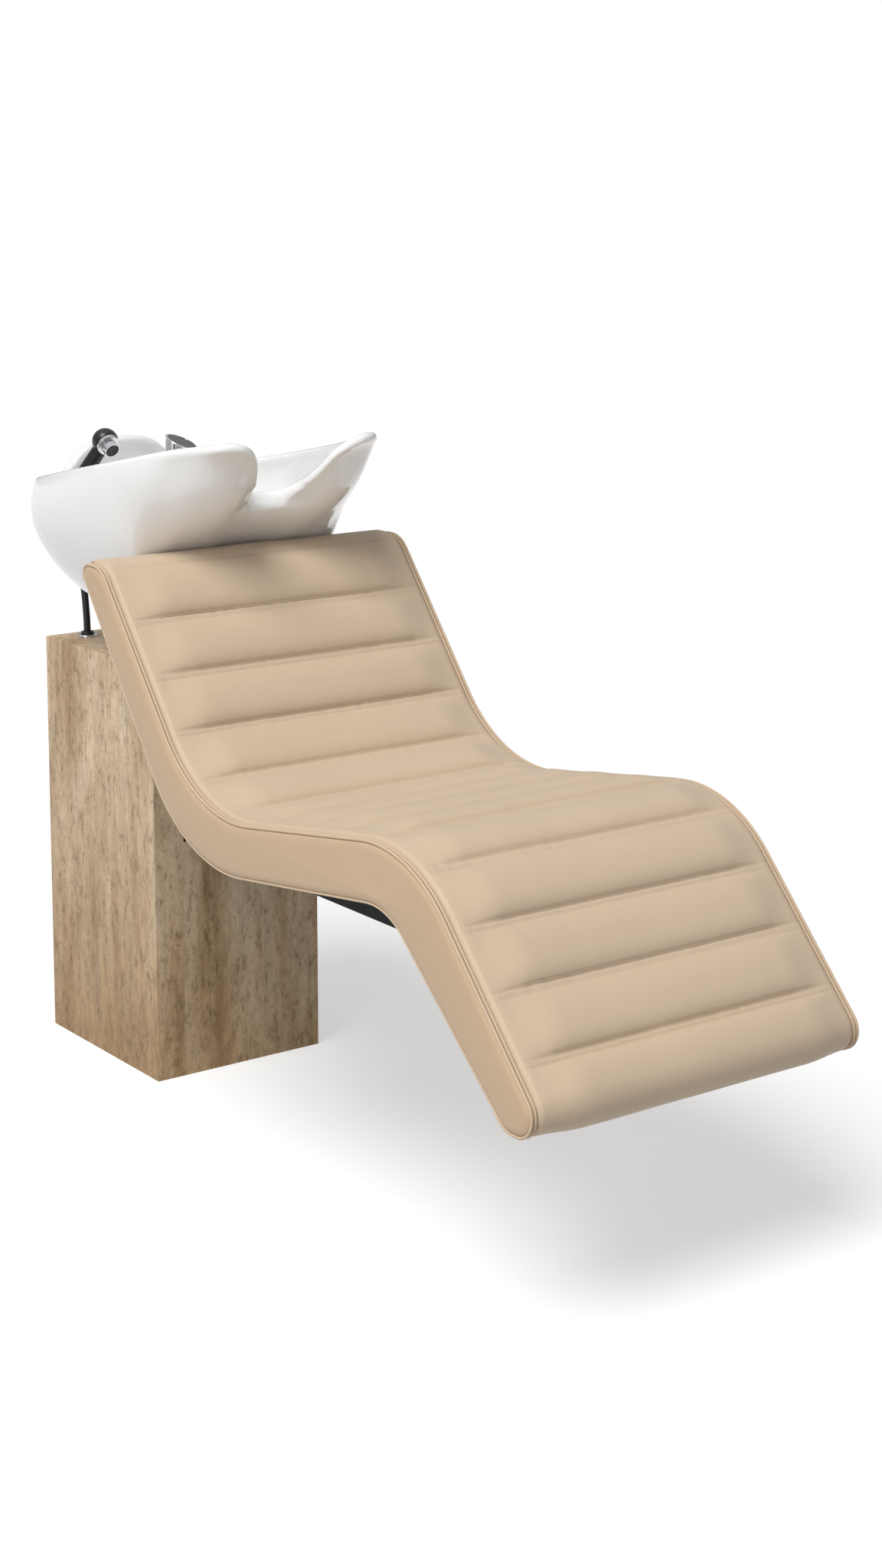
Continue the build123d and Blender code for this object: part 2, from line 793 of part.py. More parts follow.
def clear_of_head(point):
    """Moves a point of the wall back, smoothly, where it would meet the lounger's head."""
    over = point.Z - relief_level
    rising = (over + math.sqrt(over ** 2 + relief_bend ** 2)) / 2
    limit = relief_front - relief_slope_share * rising
    part_way = min(max((1 + (limit - point.Y) / relief_blend) / 2, 0), 1)
    eased_y = point.Y + part_way * (limit - point.Y) + relief_blend * part_way * (1 - part_way)
    return Vector(point.X, eased_y, point.Z)


def wall_line(share):
    """Points up the middle of the wall, from the basin's floor to its rim."""
    rim = rim_curve.position_at(share)
    bearing = math.atan2(rim.X, drain_y - rim.Y)
    low = Vector(
        floor_half_width * math.sin(bearing), drain_y - floor_half_length * math.cos(bearing), basin_floor,
    )
    outward = Vector(rim.X - low.X, rim.Y - low.Y, 0)
    reach = outward.length
    outward = outward.normalized()
    rise = rim.Z - basin_floor
    lean = math.radians(eased(wall_place_shares, wall_lean_degrees, share))
    rim_handle = rise * eased(wall_place_shares, rim_handle_shares, share)
    low_handle = low + outward * (reach * eased(wall_place_shares, floor_handle_shares, share))
    high_handle = rim - outward * (math.sin(lean) * rim_handle) - up * (math.cos(lean) * rim_handle)
    points = [low]
    for step in range(1, wall_steps):
        t = step / wall_steps
        s = 1 - t
        points.append(clear_of_head(
            low * s ** 3 + low_handle * (3 * s * s * t) + high_handle * (3 * s * t * t) + rim * t ** 3
        ))
    return [*points, rim]


wall_lines = [wall_line(step / rim_steps) for step in range(rim_steps + 1)]


def wall_point(number, step):
    """A point of the wall's middle, mirrored past either end of the half rim."""
    if 0 <= number <= rim_steps:
        return wall_lines[number][step]
    inside = -number if number < 0 else 2 * rim_steps - number
    point = wall_lines[inside][step]
    return Vector(-point.X, point.Y, point.Z)


def skin_line(number):
    """One line over the skin: up the outside, round the rim and down the inside."""
    outside = []
    inside = []
    for step in range(wall_steps + 1):
        around = wall_point(number + 1, step) - wall_point(number - 1, step)
        rising = wall_point(number, min(step + 1, wall_steps)) - wall_point(number, max(step - 1, 0))
        normal = around.cross(rising).normalized() * (basin_wall / 2)
        outside.append(wall_point(number, step) + normal)
        inside.append(wall_point(number, step) - normal)
    top = wall_point(number, wall_steps)
    crest = (top - wall_point(number, wall_steps - 1)).normalized() * (basin_wall / 2)
    sideways = outside[-1] - top
    roll = []
    for step in range(1, roll_steps):
        turn = math.pi * step / roll_steps
        roll.append(top + sideways * math.cos(turn) + crest * math.sin(turn))
    return outside, roll, inside


skin_lines = [skin_line(number) for number in range(rim_steps + 1)]
basin_base = basin_floor - basin_wall / 2
basin_inner_floor = basin_floor + basin_wall / 2


def half_ring(points, level=None):
    """A smooth line through one point of each skin line, crossing the middle squarely."""
    if level is not None:
        points = [Vector(point.X, point.Y, level) for point in points]
    count = len(points) - 1
    points = [Vector(0, points[0].Y, points[0].Z), *points[1:-1], Vector(0, points[-1].Y, points[-1].Z)]
    return Edge.make_spline(
        points, tangents=[Vector(points[1].X * count, 0, 0), Vector(-points[-2].X * count, 0, 0)],
        parameters=[number / count for number in range(count + 1)], scale=False,
    )


def both_halves(shell):
    """The faces of a half skin and of its mirror image."""
    return [*shell.faces(), *shell.mirror(Plane.YZ).faces()]


def level_face(ring):
    """The flat face inside a half ring and its mirror image."""
    return Face(Wire([ring, ring.mirror(Plane.YZ)]))


outside_rings = [
    half_ring([line[0][step] for line in skin_lines], basin_base if step == 0 else None)
    for step in wall_ring_counts
]
inside_rings = [
    half_ring([line[2][step] for line in skin_lines], basin_inner_floor if step == 0 else None)
    for step in wall_ring_counts
]
roll_rings = [half_ring([line[1][step - 1] for line in skin_lines]) for step in roll_ring_counts]
outside_skin = Shell.make_loft([Wire([ring]) for ring in outside_rings])
inside_skin = Shell.make_loft([Wire([ring]) for ring in inside_rings])
rim_skin = Shell.make_loft([Wire([r]) for r in [outside_rings[-1], *roll_rings, inside_rings[-1]]])
basin_skin = Solid(Shell([
    *both_halves(outside_skin), *both_halves(rim_skin), *both_halves(inside_skin),
    level_face(outside_rings[0]), level_face(inside_rings[0]),
]))

# The space inside the wall's middle, up to a level top, trims what stands inside the basin
middle_rings = [
    half_ring([line[step] for line in wall_lines], basin_floor if step == 0 else None)
    for step in wall_ring_counts
]
middle_top = basin_rim_low + basin_rim_rise + overrun
top_ring = half_ring([line[wall_steps] for line in wall_lines], middle_top)
middle_skin = Shell.make_loft([Wire([ring]) for ring in middle_rings])
collar_skin = Shell.make_loft([Wire([middle_rings[-1]]), Wire([top_ring])], ruled=True)
basin_room = Solid(Shell([
    *both_halves(middle_skin), *both_halves(collar_skin),
    level_face(middle_rings[0]), level_face(top_ring),
]))
print("basin skin", basin_skin.is_valid, basin_skin.volume, "room", basin_room.is_valid, basin_room.volume)

with BuildPart() as basin_foot:
    with BuildSketch(Plane.XY.offset(foot_bottom)):
        with Locations((0, foot_centre_y)):
            RectangleRounded(foot_width_x, foot_length_y, foot_corner)
    extrude(amount=deck_top - foot_bottom)
    add(basin_room, mode=Mode.SUBTRACT)

with BuildPart() as tap_deck:
    with BuildSketch(Plane.XY.offset(deck_top)):
        with Locations((0, deck_front)):
            Rectangle(2 * basin_half_width, basin_back, align=(Align.CENTER, Align.MIN))
    extrude(amount=-deck_thickness)
    with BuildSketch(Plane.XY.offset(deck_top)):
        with Locations((0, deck_front)):
            Rectangle(2 * basin_half_width, partition_thickness, align=(Align.CENTER, Align.MIN))
    extrude(amount=-(deck_top - basin_floor))
    add(basin_room, mode=Mode.INTERSECT)
    add(basin_skin, mode=Mode.SUBTRACT)
    with Locations((mixer_x, mixer_y, deck_top)):
        Cylinder(mixer_hole / 2, 3 * deck_thickness, mode=Mode.SUBTRACT)
    with Locations((bush_x, bush_y, deck_top)):
        Cylinder(bush_hole / 2, 3 * deck_thickness, mode=Mode.SUBTRACT)

with BuildPart() as basin:
    add(basin_skin)
    add(basin_foot.part.solids().sort_by(SortBy.VOLUME)[-1])
    with Locations((0, drain_y, basin_floor)):
        Cylinder(drain_hole / 2, 4 * basin_wall, mode=Mode.SUBTRACT)
    with Locations((mixer_x, mixer_y, basin_floor), (hose_exit_x, hose_exit_y, basin_floor)):
        Cylinder(
            hose_exit_hole / 2, deck_top - 3 * deck_thickness - basin_floor, mode=Mode.SUBTRACT,
            align=(Align.CENTER, Align.CENTER, Align.MIN),
        )
    with Locations((0, foot_centre_y, foot_bottom)):
        with GridLocations(cradle_bolt_spacing_x, cradle_bolt_spacing_y, 2, 2):
            Cylinder(cradle_bolt / 2 + pin_clearance, 2 * cradle_bolt_depth, mode=Mode.SUBTRACT)
save(basin, "basin")
save(tap_deck, "tap_deck")
print("basin", basin.part.is_valid, basin.part.volume, len(basin.part.solids()), basin.part.bounding_box())
print("tap deck", tap_deck.part.is_valid, tap_deck.part.volume, [s.volume for s in tap_deck.part.solids()])

# Tilt hinge: a post through the plinth's top carries a cradle bolted under the basin
with BuildPart() as tilt_post:
    with BuildSketch(Plane.XY.offset(mast_top)):
        with Locations((0, mast_y)):
            Rectangle(mast_width, mast_depth)
            with GridLocations(post_bolt_spacing_x, post_bolt_spacing_y, 2, 2):
                Circle(post_bolt / 2 + bolt_clearance, mode=Mode.SUBTRACT)
    extrude(amount=post_foot_thickness)
    with BuildSketch(Plane.XY.offset(mast_top)):
        with Locations((0, mast_y)):
            Circle(post_radius)
    extrude(amount=hinge_z - cradle_lug_radius - mast_top)
    with BuildSketch(Plane.YZ.offset(-lug_inner_half + bolt_clearance)):
        with Locations((mast_y, hinge_z)):
            Circle(cradle_lug_radius)
        with Locations((mast_y, hinge_z)):
            Rectangle(
                2 * cradle_lug_radius, cradle_lug_radius + overrun, align=(Align.CENTER, Align.MAX),
            )
    extrude(amount=2 * (lug_inner_half - bolt_clearance))
    with Locations(Plane(origin=(0, mast_y, hinge_z), z_dir=(1, 0, 0))):
        Cylinder(hinge_pin_radius + pin_clearance, 3 * lug_inner_half, mode=Mode.SUBTRACT)
save(tilt_post, "tilt_post")

with BuildPart() as post_bolts:
    with Locations((0, mast_y, mast_top + post_foot_thickness)):
        with GridLocations(post_bolt_spacing_x, post_bolt_spacing_y, 2, 2):
            Cylinder(
                post_bolt_head / 2, post_bolt_head_height, align=(Align.CENTER, Align.CENTER, Align.MIN),
            )
            Cylinder(post_bolt / 2, post_bolt_length, align=(Align.CENTER, Align.CENTER, Align.MAX))
save(post_bolts, "post_bolts")

with BuildPart() as post_rosette:
    with BuildSketch(Plane.XY.offset(plinth_height)):
        with Locations((0, mast_y)):
            Circle(post_collar_radius)
            Circle(post_radius + pin_clearance, mode=Mode.SUBTRACT)
    extrude(amount=post_collar_height)
    fillet(post_rosette.faces().sort_by(Axis.Z)[-1].outer_wire().edges(), post_collar_height / 2)
save(post_rosette, "post_rosette")

cradle_top = foot_bottom
cradle_bottom = cradle_top - cradle_thickness
lug_middle = lug_inner_half + cradle_lug_thickness / 2
with BuildPart() as basin_cradle:
    with BuildSketch(Plane.XY.offset(cradle_bottom)):
        with Locations((0, foot_centre_y)):
            RectangleRounded(cradle_width, cradle_length, cradle_corner)
            with GridLocations(cradle_bolt_spacing_x, cradle_bolt_spacing_y, 2, 2):
                Circle(cradle_bolt / 2 + bolt_clearance, mode=Mode.SUBTRACT)
        with Locations((0, drain_y)):
            Circle(cradle_hole_radius, mode=Mode.SUBTRACT)
    extrude(amount=cradle_thickness)
    for side in (-1, 1):
        with BuildSketch(Plane.YZ.offset(side * lug_middle)):
            with Locations((mast_y, hinge_z)):
                Circle(cradle_lug_radius)
                Rectangle(
                    2 * cradle_lug_radius, cradle_bottom - hinge_z, align=(Align.CENTER, Align.MIN),
                )
        extrude(amount=cradle_lug_thickness / 2, both=True)
    with Locations(Plane(origin=(0, mast_y, hinge_z), z_dir=(1, 0, 0))):
        Cylinder(hinge_pin_radius + pin_clearance, 3 * lug_inner_half, mode=Mode.SUBTRACT)
save(basin_cradle, "basin_cradle")

with BuildPart() as cradle_bolts:
    with Locations((0, foot_centre_y, cradle_bottom)):
        with GridLocations(cradle_bolt_spacing_x, cradle_bolt_spacing_y, 2, 2):
            Cylinder(
                cradle_bolt_head / 2, cradle_bolt_head_height,
                align=(Align.CENTER, Align.CENTER, Align.MAX),
            )
            Cylinder(
                cradle_bolt / 2, cradle_thickness + cradle_bolt_depth,
                align=(Align.CENTER, Align.CENTER, Align.MIN),
            )
save(cradle_bolts, "cradle_bolts")

lug_outer = lug_inner_half + cradle_lug_thickness
pin_plane = Plane(origin=(-lug_outer, mast_y, hinge_z), z_dir=(-1, 0, 0))
with BuildPart() as hinge_pin:
    with Locations(pin_plane):
        Cylinder(pin_head_radius, pin_head_length, align=(Align.CENTER, Align.CENTER, Align.MIN))
        Cylinder(
            hinge_pin_radius, 2 * lug_outer + pin_nut_length, align=(Align.CENTER, Align.CENTER, Align.MAX),
        )
save(hinge_pin, "hinge_pin")

with BuildPart() as hinge_pin_nut:
    with BuildSketch(Plane(origin=(lug_outer, mast_y, hinge_z), z_dir=(1, 0, 0))):
        RegularPolygon(pin_nut_across / 2, 6, major_radius=False)
        Circle(hinge_pin_radius + pin_clearance, mode=Mode.SUBTRACT)
    extrude(amount=pin_nut_length)
save(hinge_pin_nut, "hinge_pin_nut")

# Waste: a flange with a lift-out strainer, a nut, a flexible hose and a bottle trap
spider_top = basin_inner_floor - spider_drop
with BuildPart() as drain_flange:
    with BuildSketch(Plane.XY.offset(basin_inner_floor)):
        with Locations((0, drain_y)):
            Circle(flange_radius)
            Circle(flange_bore, mode=Mode.SUBTRACT)
    extrude(amount=flange_rim_height)
    with BuildSketch(Plane.XY.offset(flange_tube_bottom)):
        with Locations((0, drain_y)):
            Circle(flange_tube_radius)
            Circle(flange_bore, mode=Mode.SUBTRACT)
    extrude(amount=basin_inner_floor - flange_tube_bottom)
    with BuildSketch(Plane.XY.offset(spider_top)):
        with Locations((0, drain_y)):
            Circle(spider_hub_radius)
            with PolarLocations(flange_bore / 2, 3):
                Rectangle(flange_bore + overrun / 2, spider_arm_width)
            Circle(strainer_pin_radius + pin_clearance, mode=Mode.SUBTRACT)
    extrude(amount=-spider_thickness)
save(drain_flange, "drain_flange")

with BuildPart() as drain_gasket:
    with BuildSketch(Plane.XY.offset(foot_bottom)):
        with Locations((0, drain_y)):
            Circle(drain_nut_radius)
            Circle(flange_tube_radius + pin_clearance, mode=Mode.SUBTRACT)
    extrude(amount=-gasket_thickness)
save(drain_gasket, "drain_gasket")

with BuildPart() as drain_nut:
    with BuildSketch(Plane.XY.offset(foot_bottom - gasket_thickness)):
        with Locations((0, drain_y)):
            RegularPolygon(drain_nut_radius, 8)
            Circle(flange_tube_radius + pin_clearance, mode=Mode.SUBTRACT)
    extrude(amount=-drain_nut_height)
save(drain_nut, "drain_nut")

strainer_bottom = basin_inner_floor + flange_rim_height + joint_gap
with BuildPart() as strainer:
    with BuildSketch(Plane.XY.offset(strainer_bottom)):
        with Locations((0, drain_y)):
            Circle(strainer_radius)
            with PolarLocations(strainer_hole_circle / 2, strainer_hole_count):
                Circle(strainer_hole / 2, mode=Mode.SUBTRACT)
    extrude(amount=strainer_height)
    chamfer(
        strainer.faces().sort_by(Axis.Z)[-1].outer_wire().edges(), strainer_height - arris,
        length2=strainer_radius - strainer_hole_circle / 2 - strainer_hole,
    )
    with Locations((0, drain_y, strainer_bottom)):
        Cylinder(
            strainer_pin_radius, strainer_pin_length, align=(Align.CENTER, Align.CENTER, Align.MAX),
        )
save(strainer, "strainer")

with BuildPart() as waste_coupling:
    with BuildSketch(Plane.XY.offset(flange_tube_bottom - coupling_height / 2)):
        with Locations((0, drain_y)):
            Circle(coupling_radius)
    extrude(amount=coupling_height)
    with Locations((0, drain_y, flange_tube_bottom)):
        Cylinder(
            flange_tube_radius + pin_clearance, coupling_height, mode=Mode.SUBTRACT,
            align=(Align.CENTER, Align.CENTER, Align.MIN),
        )
        Cylinder(
            waste_hose_radius + pin_clearance, coupling_height, mode=Mode.SUBTRACT,
            align=(Align.CENTER, Align.CENTER, Align.MAX),
        )
save(waste_coupling, "waste_coupling")

trap_top = trap_bottom + trap_height
with BuildPart() as waste_hose:
    with BuildSketch(Plane.XY.offset(trap_top)):
        with Locations((0, drain_y)):
            Circle(waste_hose_radius)
            Circle(waste_hose_radius - waste_hose_wall, mode=Mode.SUBTRACT)
    extrude(amount=flange_tube_bottom - trap_top)
save(waste_hose, "waste_hose")

with BuildPart() as waste_trap:
    with Locations((0, drain_y, trap_bottom)):
        Cylinder(trap_radius, trap_height, align=(Align.CENTER, Align.CENTER, Align.MIN))
    chamfer(waste_trap.faces().sort_by(Axis.Z)[0].edges(), trap_wall)
    with Locations((0, drain_y, trap_bottom + 2 * trap_wall)):
        Cylinder(
            trap_radius - trap_wall, trap_height - 3 * trap_wall, mode=Mode.SUBTRACT,
            align=(Align.CENTER, Align.CENTER, Align.MIN),
        )
    with Locations((0, drain_y, trap_top)):
        Cylinder(waste_hose_radius - waste_hose_wall, 3 * trap_wall, mode=Mode.SUBTRACT)
    with Locations(Plane(origin=(trap_radius, drain_y, waste_outlet_height), z_dir=(1, 0, 0))):
        Cylinder(waste_pipe_radius - trap_wall, 4 * trap_wall, mode=Mode.SUBTRACT)
save(waste_trap, "waste_trap")

waste_start = math.sqrt(trap_radius ** 2 - waste_pipe_radius ** 2) + joint_gap
with BuildPart() as waste_pipe:
    with BuildLine(Plane.XZ.offset(-drain_y)) as waste_route:
        FilletPolyline(
            (waste_start, waste_outlet_height), (waste_pipe_x, waste_outlet_height), (waste_pipe_x, 0),
            radius=waste_bend_radius,
        )
    with BuildSketch(Plane(origin=(waste_start, drain_y, waste_outlet_height), z_dir=(1, 0, 0))):
        Circle(waste_pipe_radius)
        Circle(waste_pipe_radius - trap_wall, mode=Mode.SUBTRACT)
    sweep(path=waste_route.wires()[0])
    with Locations((0, drain_y, trap_bottom)):
        Cylinder(
            trap_radius + pin_clearance, trap_height, mode=Mode.SUBTRACT,
            align=(Align.CENTER, Align.CENTER, Align.MIN),
        )
save(waste_pipe, "waste_pipe")

# Single lever mixer: body, turret that turns, and a knob that lifts on the turret's pivot
mixer_base = Plane(origin=(mixer_x, mixer_y, deck_top))
split_level = deck_top + mixer_body_height
pivot_level = split_level + turret_drop
with BuildPart() as mixer_body:
    with Locations(mixer_base):
        Cylinder(
            mixer_flange_radius, mixer_flange_height, align=(Align.CENTER, Align.CENTER, Align.MIN),
        )
        Cylinder(mixer_radius, mixer_body_height, align=(Align.CENTER, Align.CENTER, Align.MIN))
        Cylinder(
            mixer_shank_radius, mixer_shank_length, align=(Align.CENTER, Align.CENTER, Align.MAX),
        )
    chamfer(mixer_body.edges().filter_by(GeomType.CIRCLE).group_by(Axis.Z)[-1], arris)
save(mixer_body, "mixer_body")

with BuildPart() as mixer_nut:
    with BuildSketch(mixer_base.offset(-deck_thickness)):
        RegularPolygon(mixer_nut_radius, 6)
        Circle(mixer_shank_radius + pin_clearance, mode=Mode.SUBTRACT)
    extrude(amount=-mixer_nut_height)
save(mixer_nut, "mixer_nut")

pivot_plane = Plane(origin=(mixer_x, mixer_y, pivot_level))
across_pivot = Plane(origin=pivot_plane.origin, z_dir=(1, 0, 0))
with BuildPart() as mixer_turret:
    with Locations(pivot_plane):
        Sphere(turret_radius)
    split(bisect_by=pivot_plane.offset(joint_gap - turret_drop), keep=Keep.TOP)
    with Locations(pivot_plane.offset(-stem_depth / 2 - knob_gap)):
        Box(
            stem_width + 2 * joint_gap, 3 * turret_radius, 2 * turret_radius, mode=Mode.SUBTRACT,
            align=(Align.CENTER, Align.CENTER, Align.MIN),
        )
    with Locations(across_pivot):
        Cylinder(pivot_radius + pin_clearance, 2 * turret_radius, mode=Mode.SUBTRACT)
save(mixer_turret, "mixer_turret")

with BuildPart() as mixer_pivot:
    with Locations(across_pivot):
        Cylinder(pivot_radius, pivot_length)
save(mixer_pivot, "mixer_pivot")

knob_cavity = turret_radius + knob_gap
stem_top = pivot_level + knob_cavity + stem_socket
with BuildPart() as mixer_stem:
    with BuildSketch(across_pivot):
        Circle(stem_depth / 2)
    extrude(amount=stem_width / 2, both=True)
    with Locations(pivot_plane):
        Box(
            stem_width, stem_depth, stem_top - pivot_level,
            align=(Align.CENTER, Align.CENTER, Align.MIN),
        )
    with Locations(across_pivot):
        Cylinder(pivot_radius + pin_clearance, 2 * stem_width, mode=Mode.SUBTRACT)
save(mixer_stem, "mixer_stem")

# the knob's slanted top faces down towards the person washing
heading = math.radians(knob_heading)
slant = math.radians(knob_slant)
slant_normal = Vector(math.sin(slant) * math.sin(heading), -math.sin(slant) * math.cos(heading), math.cos(slant))
slant_plane = Plane(
    origin=(mixer_x, mixer_y, knob_top - knob_radius * math.tan(slant)), z_dir=slant_normal,
)
with BuildPart() as mixer_knob:
    with Locations(pivot_plane.offset(knob_skirt)):
        Cylinder(
            knob_radius, knob_top - pivot_level, align=(Align.CENTER, Align.CENTER, Align.MIN),
        )
    split(bisect_by=slant_plane, keep=Keep.BOTTOM)
    chamfer(mixer_knob.faces().sort_by(Axis.Z)[-1].edges(), arris)
    with Locations(pivot_plane):
        Sphere(knob_cavity, mode=Mode.SUBTRACT)
        Box(
            stem_width + 2 * pin_clearance, stem_depth + 2 * pin_clearance,
            stem_top + joint_gap - pivot_level,
            align=(Align.CENTER, Align.CENTER, Align.MIN), mode=Mode.SUBTRACT,
        )
    with BuildSketch(slant_plane):
        Circle(knob_radius - knob_rim)
    extrude(amount=-knob_dish, mode=Mode.SUBTRACT)
save(mixer_knob, "mixer_knob")

with BuildPart() as knob_cap:
    with BuildSketch(slant_plane.offset(-knob_dish)):
        Circle(knob_radius - knob_rim - pin_clearance)
    extrude(amount=knob_dish / 2)
save(knob_cap, "knob_cap")

# Hand shower: a leaning socket in the deck, and a handset that pulls out of it on its hose
bush_place = Vector(bush_x, bush_y, deck_top)
lean_plane = Plane(origin=bush_place, z_dir=handset_lean)
with BuildPart() as shower_bush:
    with Locations(bush_place):
        Cylinder(
            bush_flange_radius, bush_flange_height, align=(Align.CENTER, Align.CENTER, Align.MIN),
        )
    with Locations(lean_plane):
        Cylinder(
            bush_socket_radius, 2 * bush_socket_length,
        )
    split(bisect_by=Plane(origin=bush_place), keep=Keep.TOP)
    with Locations(bush_place):
        Cylinder(
            bush_sleeve_radius, bush_sleeve_length, align=(Align.CENTER, Align.CENTER, Align.MAX),
        )
    with Locations(lean_plane.offset(bush_socket_length - handset_spigot_length - joint_gap)):
        Cylinder(
            handset_spigot_radius + pin_clearance, 2 * bush_socket_length, mode=Mode.SUBTRACT,
            align=(Align.CENTER, Align.CENTER, Align.MIN),
        )
    with Locations(bush_place + up * (spigot_foot / 2)):
        Cylinder(
            bush_bore, 2 * bush_sleeve_length, mode=Mode.SUBTRACT,
            align=(Align.CENTER, Align.CENTER, Align.MAX),
        )
save(shower_bush, "shower_bush")

with BuildPart() as bush_nut:
    with BuildSketch(Plane(origin=bush_place).offset(-deck_thickness)):
        RegularPolygon(bush_nut_radius, 6)
        Circle(bush_sleeve_radius + pin_clearance, mode=Mode.SUBTRACT)
    extrude(amount=-bush_nut_height)
save(bush_nut, "bush_nut")

head_centre = bush_place + handset_lean * handset_length
head_plane = Plane(origin=head_centre, z_dir=spray_aim)
foot_start = bush_socket_length + joint_gap
with BuildPart() as head_ball:
    with Locations(head_plane):
        Sphere(handset_head_radius)
    split(bisect_by=head_plane.offset(collar_start), keep=Keep.BOTTOM)

with BuildPart() as handset_body:
    with BuildSketch(lean_plane.offset(foot_start)):
        Circle(handset_foot_radius)
    with BuildSketch(lean_plane.offset(handset_length)):
        Circle(handset_neck_radius)
    loft()
    with Locations(lean_plane.offset(foot_start)):
        Cylinder(
            handset_spigot_radius, handset_spigot_length, align=(Align.CENTER, Align.CENTER, Align.MAX),
        )
    split(bisect_by=Plane(origin=bush_place).offset(spigot_foot), keep=Keep.TOP)
    with Locations(head_plane.offset(collar_start)):
        Cylinder(
            collar_radius + pin_clearance, 2 * collar_radius, mode=Mode.SUBTRACT,
            align=(Align.CENTER, Align.CENTER, Align.MIN),
        )
    add(head_ball.part)
save(handset_body, "handset_body")

with BuildPart() as handset_collar:
    with BuildSketch(head_plane.offset(collar_start)):
        Circle(collar_radius)
    extrude(amount=collar_length)
    chamfer(handset_collar.edges().filter_by(GeomType.CIRCLE), arris)
save(handset_collar, "handset_collar")

nozzle_plane = head_plane.offset(collar_start + collar_length)
with BuildPart() as spray_nozzle:
    with BuildSketch(nozzle_plane):
        Circle(nozzle_radius)
        Circle(nozzle_radius - nozzle_wall, mode=Mode.SUBTRACT)
    extrude(amount=nozzle_length)
save(spray_nozzle, "spray_nozzle")

with BuildPart() as spray_face:
    with BuildSketch(nozzle_plane.offset(nozzle_length - spray_face_recess)):
        Circle(nozzle_radius - nozzle_wall - pin_clearance)
    extrude(amount=-(nozzle_length - spray_face_recess))
save(spray_face, "spray_face")

# Hoses through the plinth's top
def hose_fitting(x, y, bore):
    """A rosette on the plinth's top and the grommet that stands in it."""
    place = Plane(origin=(x, y, plinth_height))
    with BuildPart() as rosette:
        with BuildSketch(place):
            Circle(rosette_radius)
            Circle(grommet_radius + pin_clearance, mode=Mode.SUBTRACT)
        extrude(amount=rosette_height)
        fillet(rosette.faces().sort_by(Axis.Z)[-1].outer_wire().edges(), rosette_height / 2)
    with BuildPart() as grommet:
        with BuildSketch(place.offset(grommet_height)):
            Circle(grommet_radius)
            Circle(bore + pin_clearance, mode=Mode.SUBTRACT)
        extrude(amount=-(grommet_height + grommet_sleeve))
        chamfer(grommet.faces().sort_by(Axis.Z)[-1].outer_wire().edges(), arris)
    return rosette, grommet


hose_rosette, hose_grommet = hose_fitting(rosette_x, rosette_y, hose_radius + joint_gap)
save(hose_rosette, "hose_rosette")
save(hose_grommet, "hose_grommet")
supply_rosette, supply_grommet = hose_fitting(mixer_x, mixer_y, supply_circle_radius + supply_radius)
save(supply_rosette, "supply_rosette")
save(supply_grommet, "supply_grommet")


def tangent_radii(points):
    """The largest arc at each inner point that its two runs allow."""
    radii = []
    for before, here, after in zip(points, points[1:], points[2:]):
        arriving = Vector(*here) - Vector(*before)
        leaving = Vector(*after) - Vector(*here)
        turn = math.radians(arriving.get_angle(leaving))
        radii.append(0.45 * min(arriving.length, leaving.length) / math.tan(turn / 2))
    return radii


shower_radii = tangent_radii(shower_route)
print("shower hose radii", [round(radius) for radius in shower_radii])
with BuildPart() as shower_hose:
    with BuildLine() as shower_line:
        FilletPolyline(*shower_route, radius=shower_radii)
    with BuildSketch(Plane(shower_line.wires()[0].location_at(0))):
        Circle(hose_radius)
    sweep(path=shower_line.wires()[0])
save(shower_hose, "shower_hose")
print("shower hose", shower_hose.part.volume, math.pi * hose_radius ** 2 * shower_line.wires()[0].length)

hose_end = Vector(*shower_route[-1]) - up * joint_gap
with BuildPart() as hose_coupling:
    with Locations(hose_end):
        Cylinder(coupling_sleeve_radius, coupling_sleeve_length)
        Cylinder(
            hose_radius + joint_gap, coupling_sleeve_length, mode=Mode.SUBTRACT,
            align=(Align.CENTER, Align.CENTER, Align.MIN),
        )
        Cylinder(
            supply_radius + pin_clearance, coupling_sleeve_length, mode=Mode.SUBTRACT,
            align=(Align.CENTER, Align.CENTER, Align.MAX),
        )
save(hose_coupling, "hose_coupling")

# Two supply hoses down to a manifold on the ballast, and the outlet hose across to the shower hose
shank_bottom = deck_top - mixer_shank_length
supply_places = PolarLocations(supply_circle_radius, 3, start_angle=180).local_locations
outlet_place, hot_place, cold_place = [
    Vector(mixer_x, mixer_y, 0) + place.position for place in supply_places
]
ballast_top = base_plate_thickness + ballast_count * ballast_height
with BuildPart() as supply_hoses:
    with BuildSketch(Plane.XY.offset(ballast_top + manifold_height)):
        with Locations(hot_place, cold_place):
            Circle(supply_radius)
            Circle(supply_radius - supply_wall, mode=Mode.SUBTRACT)
    extrude(amount=shank_bottom - ballast_top - manifold_height)
save(supply_hoses, "supply_hoses")

with BuildPart() as supply_manifold:
    with Locations((hot_place.X, mixer_y, ballast_top)):
        Box(
            manifold_width, manifold_depth, manifold_height, align=(Align.CENTER, Align.CENTER, Align.MIN),
        )
    chamfer(supply_manifold.edges().filter_by(Axis.Z), arris)
    with Locations(
        hot_place + up * (ballast_top + manifold_height), cold_place + up * (ballast_top + manifold_height),
    ):
        Cylinder(supply_radius - supply_wall, manifold_height, mode=Mode.SUBTRACT)
save(supply_manifold, "supply_manifold")

